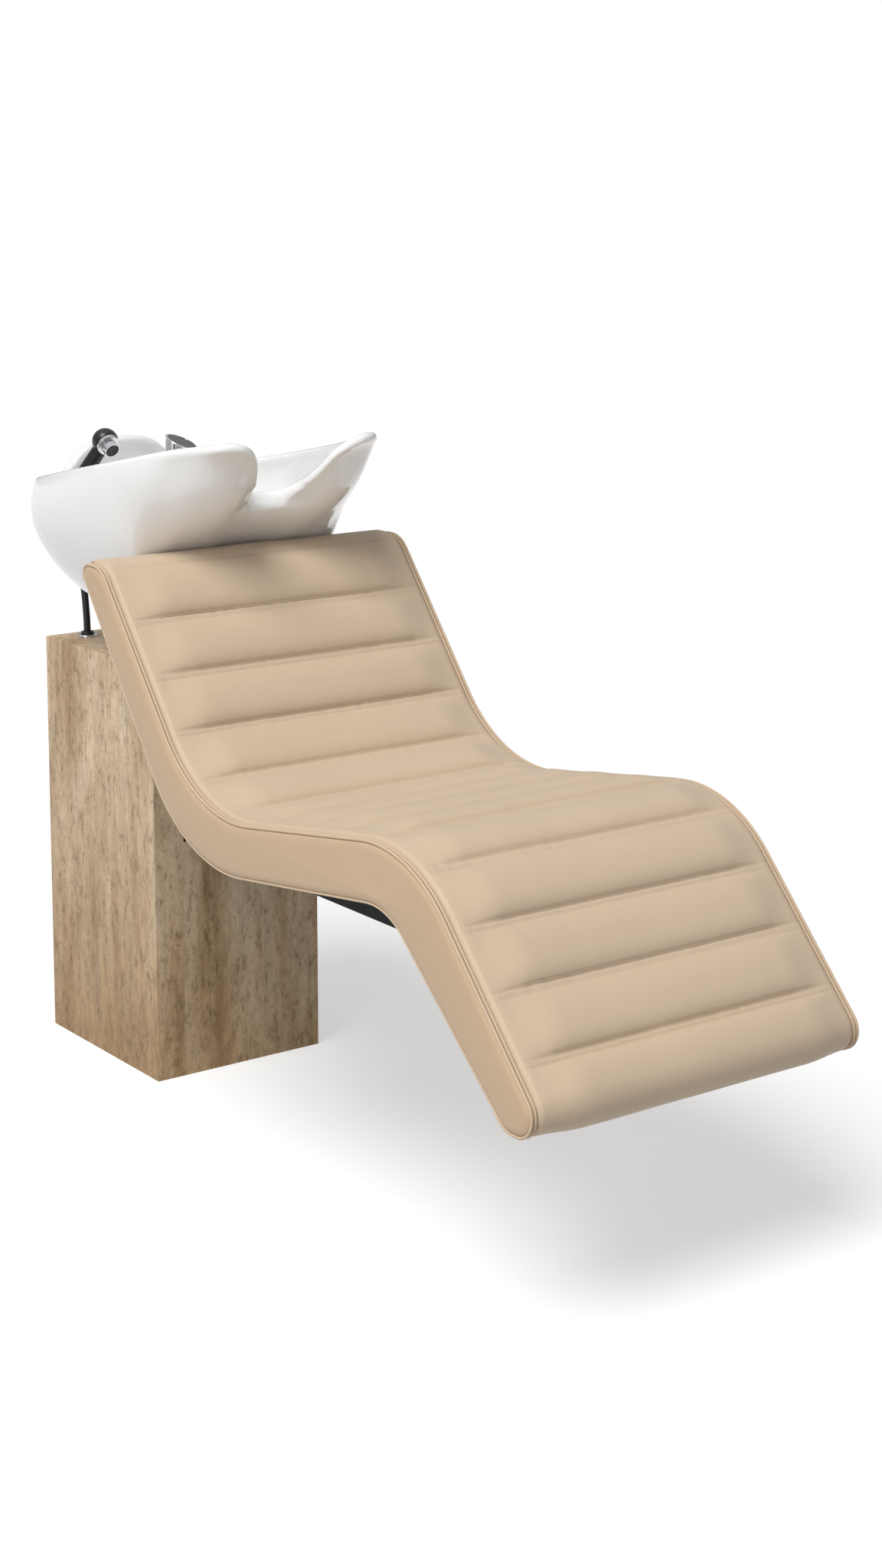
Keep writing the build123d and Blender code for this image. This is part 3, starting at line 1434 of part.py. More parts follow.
outlet_route = [
    (outlet_place.X, outlet_place.Y, shank_bottom),
    (outlet_place.X, outlet_place.Y, outlet_level),
    (hose_end.X, hose_end.Y, outlet_level),
    (hose_end.X, hose_end.Y, hose_end.Z),
]
with BuildPart() as outlet_hose:
    with BuildLine() as outlet_line:
        FilletPolyline(*outlet_route, radius=outlet_bend)
    with BuildSketch(Plane.XY.offset(shank_bottom)):
        with Locations((outlet_place.X, outlet_place.Y)):
            Circle(supply_radius)
    sweep(path=outlet_line.wires()[0])
save(outlet_hose, "outlet_hose")
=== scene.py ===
# %% [markdown]
# # Backwash unit
# A salon backwash unit: a travertine plinth carries a channelled lounger on a steel arm and, behind the
# client's head, a white ceramic basin with a hand shower and a lever mixer. The construction comes in as a
# fixed frame. This file dresses it: upholstery, stone, glaze, chrome, a floor and studio light.

# %% Load the frame and keep its box
import math

import bmesh
import bpy
from mathutils import Matrix, Vector, noise
from mathutils.bvhtree import BVHTree


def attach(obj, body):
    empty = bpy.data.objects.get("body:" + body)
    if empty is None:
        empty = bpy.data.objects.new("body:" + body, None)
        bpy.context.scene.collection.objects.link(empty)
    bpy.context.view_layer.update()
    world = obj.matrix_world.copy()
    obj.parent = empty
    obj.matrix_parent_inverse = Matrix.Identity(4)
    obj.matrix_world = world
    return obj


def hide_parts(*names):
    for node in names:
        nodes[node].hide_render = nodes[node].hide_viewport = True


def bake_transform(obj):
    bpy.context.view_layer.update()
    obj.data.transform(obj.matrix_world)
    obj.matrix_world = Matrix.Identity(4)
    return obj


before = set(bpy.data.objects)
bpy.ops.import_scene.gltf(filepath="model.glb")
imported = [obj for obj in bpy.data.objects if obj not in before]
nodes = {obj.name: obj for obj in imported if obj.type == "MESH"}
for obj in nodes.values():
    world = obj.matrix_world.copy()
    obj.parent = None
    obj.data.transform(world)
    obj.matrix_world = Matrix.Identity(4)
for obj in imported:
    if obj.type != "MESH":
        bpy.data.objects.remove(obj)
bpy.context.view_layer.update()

# %% [markdown]
# ## The camera
# The photograph was taken from the left of the foot end, a little above the seat. The camera stands where the
# plinth's corners and the lounger's seams put it. A small downward shift keeps the verticals upright, as in
# the photograph, without tilting the camera further.

# %% Camera
CAMERA_PLACE = (-2.2375, -3.8280, 1.5493)
CAMERA_YAW = -36.04
CAMERA_PITCH = 9.016
CAMERA_LENS = 60.97
CAMERA_SHIFT = -0.15
camera_data = bpy.data.cameras.new("camera")
camera_data.sensor_width = 36.0
camera_data.lens = CAMERA_LENS
camera_data.shift_y = CAMERA_SHIFT
camera_data.clip_end = 60.0
camera = bpy.data.objects.new("camera", camera_data)
camera.location = CAMERA_PLACE
camera.rotation_euler = (math.radians(90.0 - CAMERA_PITCH), 0.0, math.radians(CAMERA_YAW))
scene = bpy.context.scene
scene.collection.objects.link(camera)
scene.camera = camera
scene.view_settings.view_transform = "Standard"

# %% [markdown]
# ## Small helpers
# Every piece is a mesh at the origin with its place in its vertices. A few helpers make such a mesh, shade it
# smooth, name its material slot and let it ride on its body.


# %% Helpers for pieces
def srgb(red, green, blue):
    """A colour read from a screen, from 0 to 255, as the linear colour that shaders use."""
    channels = []
    for value in (red, green, blue):
        share = value / 255.0
        channels.append(share / 12.92 if share <= 0.04045 else ((share + 0.055) / 1.055) ** 2.4)
    return (*channels, 1.0)


def finish_piece(bm, name, material, body, replaced=()):
    """Turns a bmesh into a piece of the object that rides on a body, if one is named."""
    mesh = bpy.data.meshes.new(name)
    for face in bm.faces:
        face.smooth = True
    bm.to_mesh(mesh)
    bm.free()
    piece = bpy.data.objects.new(name, mesh)
    scene.collection.objects.link(piece)
    mesh.materials.append(material)
    if body:
        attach(piece, body)
    if replaced:
        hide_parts(*replaced)
    print(name, len(mesh.polygons), "faces")
    return piece


def paint(material, *names):
    """Gives carried-over nodes a material."""
    for name in names:
        slots = nodes[name].data.materials
        slots.clear()
        slots.append(material)


# %% [markdown]
# ## The side outline
# The lounger is a band of constant section: eight corners, each with its own radius, seen from the side. The
# same corners give the pad, the side panels, the piping and the underside, so they are worked out once as a
# line that can be asked for a place and a direction at any distance along it.

# %% The lounger's corners
BACK_LENGTH, BACK_ANGLE = 0.443, 50.6
SEAT_LENGTH, SEAT_SLOPE = 0.5464, 8.8
LEG_LENGTH, LEG_ANGLE = 0.4438, 47.0
HEAD_WIDTH, FOOT_WIDTH = 0.066, 0.090
SEAT_CORNER_SHIFT = (0.035, -0.078)
KNEE_SHIFT = (0.050, -0.093)
OUTLINE_RADII = [0.050, 0.250, 0.213, 0.029, 0.030, 0.110, 0.270, 0.015]
HALF_WIDTH = 0.287
PANEL_THICKNESS = 0.012


def stride(start, length, degrees):
    """The point a length away from another in the side view, as (y, z)."""
    turn = math.radians(degrees)
    return Vector((start[0] + length * math.cos(turn), start[1] + length * math.sin(turn)))


head_upper = Vector((-0.248, 0.8765))
seat_corner = stride(head_upper, BACK_LENGTH, 180 + BACK_ANGLE)
knee = stride(seat_corner, SEAT_LENGTH, 180 - SEAT_SLOPE)
foot_tip = stride(knee, LEG_LENGTH, 180 + LEG_ANGLE)
foot_under = foot_tip + Vector((FOOT_WIDTH, 0.0))
knee_under = knee + Vector(KNEE_SHIFT)
seat_under = seat_corner + Vector(SEAT_CORNER_SHIFT)
head_under = head_upper + Vector((HEAD_WIDTH, 0.0))
OUTLINE = [head_upper, seat_corner, knee, foot_tip, foot_under, knee_under, seat_under, head_under]


class SideLine:
    """A line of straight runs and tangent arcs in the side view, measured along its length."""

    def __init__(self, corners, radii, closed=False, step=0.0015):
        points = [] if closed else [corners[0]]
        count = len(corners)
        inner = range(count) if closed else range(1, count - 1)
        for i in inner:
            before, here, after = corners[i - 1], corners[i], corners[(i + 1) % count]
            arriving = (here - before).normalized()
            leaving = (after - here).normalized()
            turn = arriving.angle_signed(leaving)
            reach = radii[i] * math.tan(abs(turn) / 2)
            start = here - arriving * reach
            side = Vector((arriving.y, -arriving.x)) * (1.0 if turn > 0 else -1.0)
            centre = start + side * radii[i]
            steps = max(3, round(radii[i] * abs(turn) / step))
            for number in range(steps + 1):
                spoke = start - centre
                spoke.rotate(Matrix.Rotation(-turn * number / steps, 2))
                points.append(centre + spoke)
        points.append(points[0] if closed else corners[-1])
        self.points = points
        self.marks = [0.0]
        for first, second in zip(points, points[1:]):
            self.marks.append(self.marks[-1] + (second - first).length)
        self.length = self.marks[-1]

    def at(self, distance):
        """The point at a distance, and the direction that the line takes there."""
        distance = min(max(distance, 0.0), self.length - 1e-6)
        low, high = 0, len(self.marks) - 1
        while high - low > 1:
            middle = (low + high) // 2
            if self.marks[middle] <= distance:
                low = middle
            else:
                high = middle
        share = (distance - self.marks[low]) / (self.marks[high] - self.marks[low])
        along = self.points[high] - self.points[low]
        return self.points[low] + along * share, along.normalized()

    def nearest(self, point):
        """How far along the line a point lies."""
        gaps = [(place - point).length for place in self.points]
        return self.marks[gaps.index(min(gaps))]


def outward_of(along):
    """The way out of the lounger's outline, square to a direction along it."""
    return Vector((along.y, -along.x))


outline = SideLine(OUTLINE, OUTLINE_RADII, closed=True)
print("outline", round(outline.length, 4), "m round")

# %% [markdown]
# ## Shared shader groups
# Two effects turn up in many finishes: a slow drift of tone and a fine pebbled grain. Each is built once as a
# node group with named sockets and used with its own sizes in each material.


# %% Shader group helpers
def new_group(name, inputs, outputs):
    """An empty shader group with named float or colour sockets."""
    group = bpy.data.node_groups.new(name, "ShaderNodeTree")
    for label, kind, value in inputs:
        socket = group.interface.new_socket(label, in_out="INPUT", socket_type=kind)
        socket.default_value = value
    for label, kind in outputs:
        group.interface.new_socket(label, in_out="OUTPUT", socket_type=kind)
    way_in = group.nodes.new("NodeGroupInput")
    way_out = group.nodes.new("NodeGroupOutput")
    place = group.nodes.new("ShaderNodeTexCoord").outputs["Object"]
    return group, way_in, way_out, place


def noise_node(tree, place, scale, detail=3.0, roughness=0.5):
    """A noise texture on a place, its scale a number or a socket."""
    node = tree.nodes.new("ShaderNodeTexNoise")
    node.inputs["Detail"].default_value = detail
    node.inputs["Roughness"].default_value = roughness
    tree.links.new(place, node.inputs["Vector"])
    if isinstance(scale, (int, float)):
        node.inputs["Scale"].default_value = scale
    else:
        tree.links.new(scale, node.inputs["Scale"])
    return node.outputs["Fac"]


def ramp_node(tree, value, stops):
    """A colour ramp over a value, from (place, colour) stops."""
    node = tree.nodes.new("ShaderNodeValToRGB")
    band = node.color_ramp
    while len(band.elements) < len(stops):
        band.elements.new(0.5)
    for element, (place, colour) in zip(band.elements, stops):
        element.position = place
        element.color = colour
    tree.links.new(value, node.inputs["Fac"])
    return node.outputs["Color"]


def math_node(tree, operation, first, second):
    """A math node on two values or sockets."""
    node = tree.nodes.new("ShaderNodeMath")
    node.operation = operation
    for socket, value in zip(node.inputs, (first, second)):
        if isinstance(value, (int, float)):
            socket.default_value = value
        else:
            tree.links.new(value, socket)
    return node.outputs["Value"]


def mix_node(tree, share, first, second, blend="MIX"):
    """A colour mix of two colours or sockets."""
    node = tree.nodes.new("ShaderNodeMix")
    node.data_type = "RGBA"
    node.blend_type = blend
    for socket, value in ((node.inputs[0], share), (node.inputs[6], first), (node.inputs[7], second)):
        if isinstance(value, (int, float, tuple)):
            socket.default_value = value
        else:
            tree.links.new(value, socket)
    return node.outputs[2]


def grey(value):
    """A grey of a level."""
    return (value, value, value, 1.0)


# %% Drift group: slow patches of tone
drift, drift_in, drift_out, drift_place = new_group(
    "tone_drift",
    [("Patch Scale", "NodeSocketFloat", 4.0), ("Amount", "NodeSocketFloat", 0.1)],
    [("Tone", "NodeSocketFloat")],
)
patches = noise_node(drift, drift_place, drift_in.outputs["Patch Scale"], 4.0, 0.6)
centred = math_node(drift, "SUBTRACT", patches, 0.5)
swing = math_node(drift, "MULTIPLY", centred, drift_in.outputs["Amount"])
drift.links.new(math_node(drift, "ADD", swing, 1.0), drift_out.inputs["Tone"])

# %% Grain group: pebbles of leather, moulded plastic and powder coat
grain, grain_in, grain_out, grain_place = new_group(
    "fine_grain",
    [("Pebble Scale", "NodeSocketFloat", 700.0), ("Crease Scale", "NodeSocketFloat", 60.0)],
    [("Height", "NodeSocketFloat"), ("Crease", "NodeSocketFloat")],
)
pebbles = grain.nodes.new("ShaderNodeTexVoronoi")
pebbles.feature = "SMOOTH_F1"
grain.links.new(grain_place, pebbles.inputs["Vector"])
grain.links.new(grain_in.outputs["Pebble Scale"], pebbles.inputs["Scale"])
creases = noise_node(grain, grain_place, grain_in.outputs["Crease Scale"], 6.0, 0.65)
pebble_top = math_node(grain, "SUBTRACT", 1.0, pebbles.outputs["Distance"])
pebble_share = math_node(grain, "MULTIPLY", pebble_top, 0.6)
grain.links.new(math_node(grain, "ADD", pebble_share, creases), grain_out.inputs["Height"])
grain.links.new(creases, grain_out.inputs["Crease"])

# %% [markdown]
# ## Finishes
# Each finish is one Principled shader fed by the groups: beige upholstery leather with a fine grain, vein-cut
# travertine, white glaze, polished chrome, satin black plastic and coated steel. The numbers that stay the
# same over a surface sit on the shader itself.
#
# Travertine is laid down in water, so its bands and pits run one way. Noise that is squeezed in height and
# then read through colour ramps gives bands, streaks and flakes that all stand upright. The colour is
# darkened towards the floor as painted shade, and the front and rear slabs take a copy of the stone with
# painted light of
# their own: less of that shade low down and a paler, cooler top, for how they look in the lounger's shade.


# %% Material helper
def new_material(name, roughness=0.5, metallic=0.0, coat=0.0, coat_roughness=0.1, sheen=0.0, specular=0.5):
    """A material with its tree, its shader and its object coordinates."""
    material = bpy.data.materials.new(name)
    material.use_nodes = True
    tree = material.node_tree
    shader = tree.nodes["Principled BSDF"]
    shader.inputs["Roughness"].default_value = roughness
    shader.inputs["Metallic"].default_value = metallic
    shader.inputs["Coat Weight"].default_value = coat
    shader.inputs["Coat Roughness"].default_value = coat_roughness
    shader.inputs["Sheen Weight"].default_value = sheen
    shader.inputs["Specular IOR Level"].default_value = specular
    place = tree.nodes.new("ShaderNodeTexCoord").outputs["Object"]
    return material, tree, shader, place


def add_group(tree, group, **values):
    """A shader group placed in a material, its inputs named with underscores."""
    node = tree.nodes.new("ShaderNodeGroup")
    node.node_tree = group
    for label, value in values.items():
        node.inputs[label.replace("_", " ")].default_value = value
    return node


def add_bump(tree, shader, height, distance, strength=1.0):
    """A bump from a height that changes over the surface."""
    bump = tree.nodes.new("ShaderNodeBump")
    bump.inputs["Distance"].default_value = distance
    bump.inputs["Strength"].default_value = strength
    tree.links.new(height, bump.inputs["Height"])
    tree.links.new(bump.outputs["Normal"], shader.inputs["Normal"])


def toned(tree, colour, tone):
    """A colour made lighter or darker by a tone."""
    return mix_node(tree, 1.0, colour, tone, "MULTIPLY")


def stretched(tree, place, scale):
    """A place with its axes scaled, so that what is drawn on it is stretched."""
    node = tree.nodes.new("ShaderNodeMapping")
    node.inputs["Scale"].default_value = scale
    tree.links.new(place, node.inputs["Vector"])
    return node.outputs["Vector"]


def span(tree, value, low, high):
    """A value from 0 to 1 spread between two others."""
    node = tree.nodes.new("ShaderNodeMapRange")
    node.inputs["To Min"].default_value = low
    node.inputs["To Max"].default_value = high
    tree.links.new(value, node.inputs["Value"])
    return node.outputs["Result"]


# %% Beige leather
def leather(name, colour, pebble_scale=650.0):
    """Upholstery leather: fine pebbles, faint creases and a slow drift of tone."""
    material, tree, shader, place = new_material(name, roughness=0.55, sheen=0.15, specular=0.35)
    shader.inputs["Sheen Roughness"].default_value = 0.6
    tone = add_group(tree, drift, Patch_Scale=5.0, Amount=0.10).outputs["Tone"]
    tree.links.new(toned(tree, colour, tone), shader.inputs["Base Color"])
    skin = add_group(tree, grain, Pebble_Scale=pebble_scale, Crease_Scale=45.0)
    tree.links.new(span(tree, skin.outputs["Crease"], 0.48, 0.64), shader.inputs["Roughness"])
    add_bump(tree, shader, skin.outputs["Height"], 0.00025, 0.55)
    return material


beige_leather = leather("beige_leather", srgb(199, 177, 151))
piping_leather = leather("piping_leather", srgb(199, 175, 146))
# Painted shade: the side panels and the underside get a darker, less yellow copy of the same leather, for the
# shade under the pad's overhang.
panel_leather_painted_shade = leather("panel_leather_painted_shade", srgb(192, 165, 134))
thread = leather("beige_thread", srgb(196, 172, 140), 2500.0)


# %% Travertine
STONE_HEIGHT = 0.69
BAND_SQUEEZE = 0.08
FLAKE_SQUEEZE = 0.42


def travertine(name, light, warm, dark, vein, foot_tint, head_tint):
    """Vein-cut travertine: upright bands, thin streaks, sandy mottle, pits, and a painted shade from foot to
    head.
    """
    material, tree, shader, place = new_material(name, roughness=0.46, specular=0.35)
    upright = stretched(tree, place, (1.0, 1.0, BAND_SQUEEZE))
    flowing = stretched(tree, place, (1.0, 1.0, FLAKE_SQUEEZE))
    broad = noise_node(tree, upright, 13.0, 4.0, 0.6)
    fine = noise_node(tree, upright, 60.0, 7.0, 0.78)
    clouds = noise_node(tree, flowing, 9.0, 5.0, 0.62)
    flakes = noise_node(tree, flowing, 80.0, 8.0, 0.82)
    sand = noise_node(tree, place, 420.0, 3.0, 0.7)
    mottled = ramp_node(tree, broad, [(0.30, dark), (0.41, warm), (0.53, light), (0.64, warm), (0.76, dark)])
    shades = (
        (fine, [(0.32, grey(0.82)), (0.48, grey(1.0)), (0.70, grey(1.08))]),
        (clouds, [(0.32, (0.80, 0.74, 0.66, 1.0)), (0.66, grey(1.10))]),
        (flakes, [(0.36, (0.50, 0.42, 0.33, 1.0)), (0.47, grey(0.94)), (0.66, grey(1.22))]),
        (sand, [(0.35, grey(0.88)), (0.62, grey(1.05))]),
    )
    for value, stops in shades:
        mottled = mix_node(tree, 1.0, mottled, ramp_node(tree, value, stops), "MULTIPLY")
    streaks = noise_node(tree, upright, 34.0, 8.0, 0.80)
    streak_mask = ramp_node(tree, streaks, [(0.60, grey(0.0)), (0.70, grey(1.0))])
    veined = mix_node(tree, math_node(tree, "MULTIPLY", streak_mask, 0.30), mottled, vein)
    # Painted shade: a tint from foot_tint at the floor to head_tint at three quarters of the height
    # multiplies the colour.
    split = tree.nodes.new("ShaderNodeSeparateXYZ")
    tree.links.new(place, split.inputs["Vector"])
    rise = math_node(tree, "DIVIDE", split.outputs["Z"], STONE_HEIGHT)
    painted_height_shade = ramp_node(tree, rise, [(0.0, foot_tint), (0.75, head_tint)])
    veined = mix_node(tree, 1.0, veined, painted_height_shade, "MULTIPLY")
    pits = noise_node(tree, flowing, 150.0, 3.0, 0.6)
    pit_mask = ramp_node(tree, pits, [(0.640, grey(0.0)), (0.69, grey(1.0))])
    coloured = mix_node(tree, math_node(tree, "MULTIPLY", pit_mask, 0.6), veined, vein)
    tree.links.new(coloured, shader.inputs["Base Color"])
    tree.links.new(span(tree, fine, 0.36, 0.58), shader.inputs["Roughness"])
    height = math_node(tree, "SUBTRACT", math_node(tree, "MULTIPLY", flakes, 0.3), pit_mask)
    add_bump(tree, shader, height, 0.0005, 0.5)
    return material


STONE_COLOURS = [srgb(215, 195, 168), srgb(198, 172, 139), srgb(158, 129, 93), srgb(112, 88, 60)]
# Painted shade: the side and top slabs darken and warm towards the floor.
stone = travertine("travertine", *STONE_COLOURS, foot_tint=(0.60, 0.50, 0.35, 1.0), head_tint=grey(1.0))
# Painted light: the front and rear slabs, which stand in the lounger's shade, get a copy with a tint of their
# own, darkened less towards the floor and cooler and paler at the top.
front_stone_painted_light = travertine(
    "front_travertine_painted_light", *STONE_COLOURS, foot_tint=(0.76, 0.71, 0.62, 1.0), head_tint=(1.0, 1.05, 1.12, 1.0)
)

# %% Glaze, metals and plastics
glaze, glaze_tree, glaze_shader, glaze_place = new_material(
    "white_glaze", roughness=0.12, coat=0.6, coat_roughness=0.04, specular=0.5
)
glaze_tone = add_group(glaze_tree, drift, Patch_Scale=6.0, Amount=0.015).outputs["Tone"]
glaze_tree.links.new(toned(glaze_tree, srgb(240, 240, 239), glaze_tone), glaze_shader.inputs["Base Color"])
add_bump(glaze_tree, glaze_shader, noise_node(glaze_tree, glaze_place, 30.0, 2.0), 0.0003, 0.08)


def metal(name, colour, roughness, smear=0.05, scale=90.0):
    """A metal whose roughness drifts a little, as from handling and polishing."""
    material, tree, shader, place = new_material(name, roughness=roughness, metallic=1.0)
    tone = add_group(tree, drift, Patch_Scale=20.0, Amount=0.06).outputs["Tone"]
    tree.links.new(toned(tree, colour, tone), shader.inputs["Base Color"])
    smudges = noise_node(tree, place, scale, 5.0, 0.6)
    tree.links.new(span(tree, smudges, roughness - smear, roughness + smear), shader.inputs["Roughness"])
    return material


chrome = metal("polished_chrome", srgb(212, 213, 216), 0.10, 0.04)
zinc = metal("zinc_steel", srgb(186, 188, 190), 0.36, 0.08, 300.0)
brass = metal("machined_brass", srgb(196, 164, 92), 0.32, 0.07, 250.0)


def moulded(name, colour, roughness, coat=0.0, pebble_scale=900.0, depth=0.0001, specular=0.5):
    """Moulded plastic, rubber or coated steel: a fine grain and a small drift of tone."""
    material, tree, shader, place = new_material(name, roughness=roughness, coat=coat, specular=specular)
    tone = add_group(tree, drift, Patch_Scale=8.0, Amount=0.08).outputs["Tone"]
    tree.links.new(toned(tree, colour, tone), shader.inputs["Base Color"])
    skin = add_group(tree, grain, Pebble_Scale=pebble_scale, Crease_Scale=35.0)
    tree.links.new(
        span(tree, skin.outputs["Crease"], roughness - 0.06, roughness + 0.06), shader.inputs["Roughness"]
    )
    add_bump(tree, shader, skin.outputs["Height"], depth, 0.4)
    return material


black_plastic = moulded("black_plastic", srgb(22, 22, 23), 0.34)
black_rubber = moulded("black_rubber", srgb(20, 20, 21), 0.42)
black_steel = moulded("black_powder_coat", srgb(14, 14, 15), 0.52, pebble_scale=1400.0, specular=0.15)
smoked_gloss = moulded("smoked_gloss", srgb(20, 20, 22), 0.16, coat=0.15, depth=0.00002)
white_plastic = moulded("white_polypropylene", srgb(226, 226, 224), 0.42)
panel_coat = moulded("stone_grey_coat", srgb(158, 140, 118), 0.55, pebble_scale=1400.0)
cast_iron = moulded("cast_iron", srgb(78, 78, 80), 0.62, pebble_scale=420.0, depth=0.0004)


def plywood(name):
    """Birch plywood: pale sheets with darker glue lines along its thickness and a drawn-out grain."""
    material, tree, shader, place = new_material(name, roughness=0.6)
    rings = noise_node(tree, stretched(tree, place, (1.0, 14.0, 14.0)), 9.0, 6.0, 0.6)
    colour = ramp_node(tree, rings, [(0.3, srgb(176, 140, 98)), (0.7, srgb(214, 184, 142))])
    tree.links.new(colour, shader.inputs["Base Color"])
    add_bump(tree, shader, rings, 0.0003, 0.4)
    return material


birch = plywood("birch_plywood")

# %% Paint the carried-over nodes
paint(stone, "plinth_top_slab", "plinth_right_slab", "plinth_left_slab")
# Painted light: the front and rear slabs take the copy tinted for their shade.
paint(front_stone_painted_light, "plinth_front_slab", "plinth_rear_slab")
paint(panel_coat, "access_panel")
paint(
    zinc, "access_panel_screws", "arm_bolts", "seat_bolts", "post_bolts", "cradle_bolts", "hinge_pin",
    "hinge_pin_nut",
)
paint(black_steel, "base_plate", "corner_angles", "mast", "seat_arm", "tilt_post", "basin_cradle")
paint(cast_iron, "ballast_blocks")
paint(birch, "lounger_shell")
paint(beige_leather, "lounger_pad", "side_panel_right", "side_panel_left", "underside_cover")
paint(glaze, "basin", "tap_deck")
paint(
    chrome, "post_rosette", "drain_flange", "strainer", "mixer_body", "mixer_turret", "mixer_stem",
    "mixer_pivot", "mixer_knob", "handset_collar", "spray_nozzle", "hose_rosette", "supply_rosette",
    "shower_bush",
)
paint(smoked_gloss, "knob_cap")
paint(black_rubber, "drain_gasket", "shower_hose", "supply_hoses", "outlet_hose")
paint(black_plastic, "handset_body", "spray_face", "hose_grommet", "supply_grommet")
paint(white_plastic, "drain_nut", "waste_coupling", "waste_hose", "waste_trap", "waste_pipe")
paint(brass, "mixer_nut", "bush_nut", "supply_manifold", "hose_coupling")

# %% [markdown]
# ## The pad
# The pad is one leather cover over foam, sewn down through the foam along thirteen cross seams and along a
# border at the head. A fine sheet is bent along the lounger's line, and each vertex is lifted off it: a round
# edge beside the piping, crowned channels between the seams that fade before the edge, and a flat sewn strip
# with a row of stitches on each side of every seam. Pulled leather puckers near the ends of the seams.
#
# A cloth simulation could inflate such a cover as well. Here the foam is firm and the leather is tight, so
# the crowns are all alike, and a formula gives them exactly and the same on every run.

# %% The pad's line and its seams
HEAD_BORDER = 0.033
FIRST_SEAM = 0.042
CHANNEL_PITCH = 0.0975
SEAM_COUNT = 14
PAD_HALF = HALF_WIDTH - PANEL_THICKNESS - 0.0003
SEAM_RISE = 0.008
BUMP_RISE = 0.013
STRIP_HALF = 0.0055
EDGE_ROUND = 0.014
CROWN_SKEW, TOE_SKEW = 1.3, 0.75
CROWN_POWER, CROWN_FULLNESS = 2.4, 0.62
FADE_START, FADE_LENGTH = 0.004, 0.078
END_TUCK = 0.030
TOE_LENGTH, TOE_TURN = 0.055, 0.012
TOE_FLATTENING, TOE_FADING = 0.8, 0.55
BORDER_GAP = 0.001
GROOVE_DEPTH, GROOVE_WIDTH, BORDER_GROOVE, GROOVE_FADE = 0.0012, 0.0012, 0.0014, 0.02
PUCKER_DEPTH, PUCKER_REACH = 0.0009, 0.014
SLACK_DEPTH = 0.0012

under_head = head_under + (seat_under - head_under).normalized() * END_TUCK
under_foot = foot_under + (knee_under - foot_under).normalized() * END_TUCK
pad_line = SideLine(
    [under_head, head_under, head_upper, seat_corner, knee, foot_tip, foot_under, under_foot],
    [0.0, OUTLINE_RADII[7], *OUTLINE_RADII[:5], 0.0],
)
pad_zero = pad_line.nearest(Vector((head_under.x - HEAD_BORDER, head_under.y)))
seams = [pad_zero + FIRST_SEAM + number * CHANNEL_PITCH for number in range(SEAM_COUNT)]
last_bump_end = pad_line.nearest(foot_under) - TOE_TURN
toe_start = pad_line.nearest(foot_tip) - TOE_LENGTH
print("pad line", round(pad_line.length, 4), "first seam", round(seams[0], 4), "last", round(seams[-1], 4))


def smooth_step(value):
    """0 below 0, 1 above 1 and a smooth way between."""
    value = min(max(value, 0.0), 1.0)
    return value * value * (3.0 - 2.0 * value)


def rounded(share):
    """A quarter round: 0 at 0 and 1 from 1 on, leaving steeply and arriving level."""
    return math.sqrt(max(0.0, 1.0 - (1.0 - min(share, 1.0)) ** 2))


def crown(distance):
    """How full the channel between two seams is at a distance, from 0 at its seams to 1 at its top."""
    places = [*seams, last_bump_end]
    for start, end in zip(places, places[1:]):
        if start < distance < end:
            low = start + (BORDER_GAP if start == seams[0] else STRIP_HALF)
            high = end - (STRIP_HALF if end != last_bump_end else 0.0)
            share = (distance - low) / (high - low)
            if 0.0 < share < 1.0:
                skewed = share ** (CROWN_SKEW if end != last_bump_end else TOE_SKEW)
                return (1.0 - abs(2.0 * skewed - 1.0) ** CROWN_POWER) ** CROWN_FULLNESS
    return 0.0


def pad_rise(x, distance):
    """How far the cover stands off the pad's line at a place."""
    from_edge = PAD_HALF - abs(x)
    edge = rounded(from_edge / EDGE_ROUND)
    end_gap = min(distance, pad_line.length - distance)
    rolling = smooth_step((distance - toe_start) / (last_bump_end - toe_start))
    fade = smooth_step((from_edge - FADE_START) / FADE_LENGTH)
    height = SEAM_RISE * edge * rounded(end_gap / END_TUCK) * (1.0 - TOE_FLATTENING * rolling)
    height += BUMP_RISE * crown(distance) * fade * (1.0 - TOE_FADING * rolling)
    near = min(abs(distance - place) for place in seams[1:])
    groove = math.exp(-((near - STRIP_HALF) / GROOVE_WIDTH) ** 2)
    groove += math.exp(-((distance - seams[0]) / BORDER_GROOVE) ** 2)
    height -= GROOVE_DEPTH * groove * smooth_step(from_edge / GROOVE_FADE)
    pucker = noise.noise(Vector((x * 95.0, distance * 22.0, 1.7)))
    pucker += 0.5 * noise.noise(Vector((x * 240.0, distance * 60.0, 5.1)))
    height += PUCKER_DEPTH * pucker * math.exp(-max(0.0, near - STRIP_HALF) / PUCKER_REACH) * edge
    slack = noise.noise(Vector((x * 9.0, distance * 11.0, 3.3)))
    return height + SLACK_DEPTH * slack * fade


# %% [markdown]
# ## Bending the sheet
# A grid is laid out flat with one side along the line's length. Each vertex then moves to its place on the
# line and out from it. Extruding the rim and sinking it gives the sheet a turned-in edge, so no light comes
# through where the cover meets the panels.

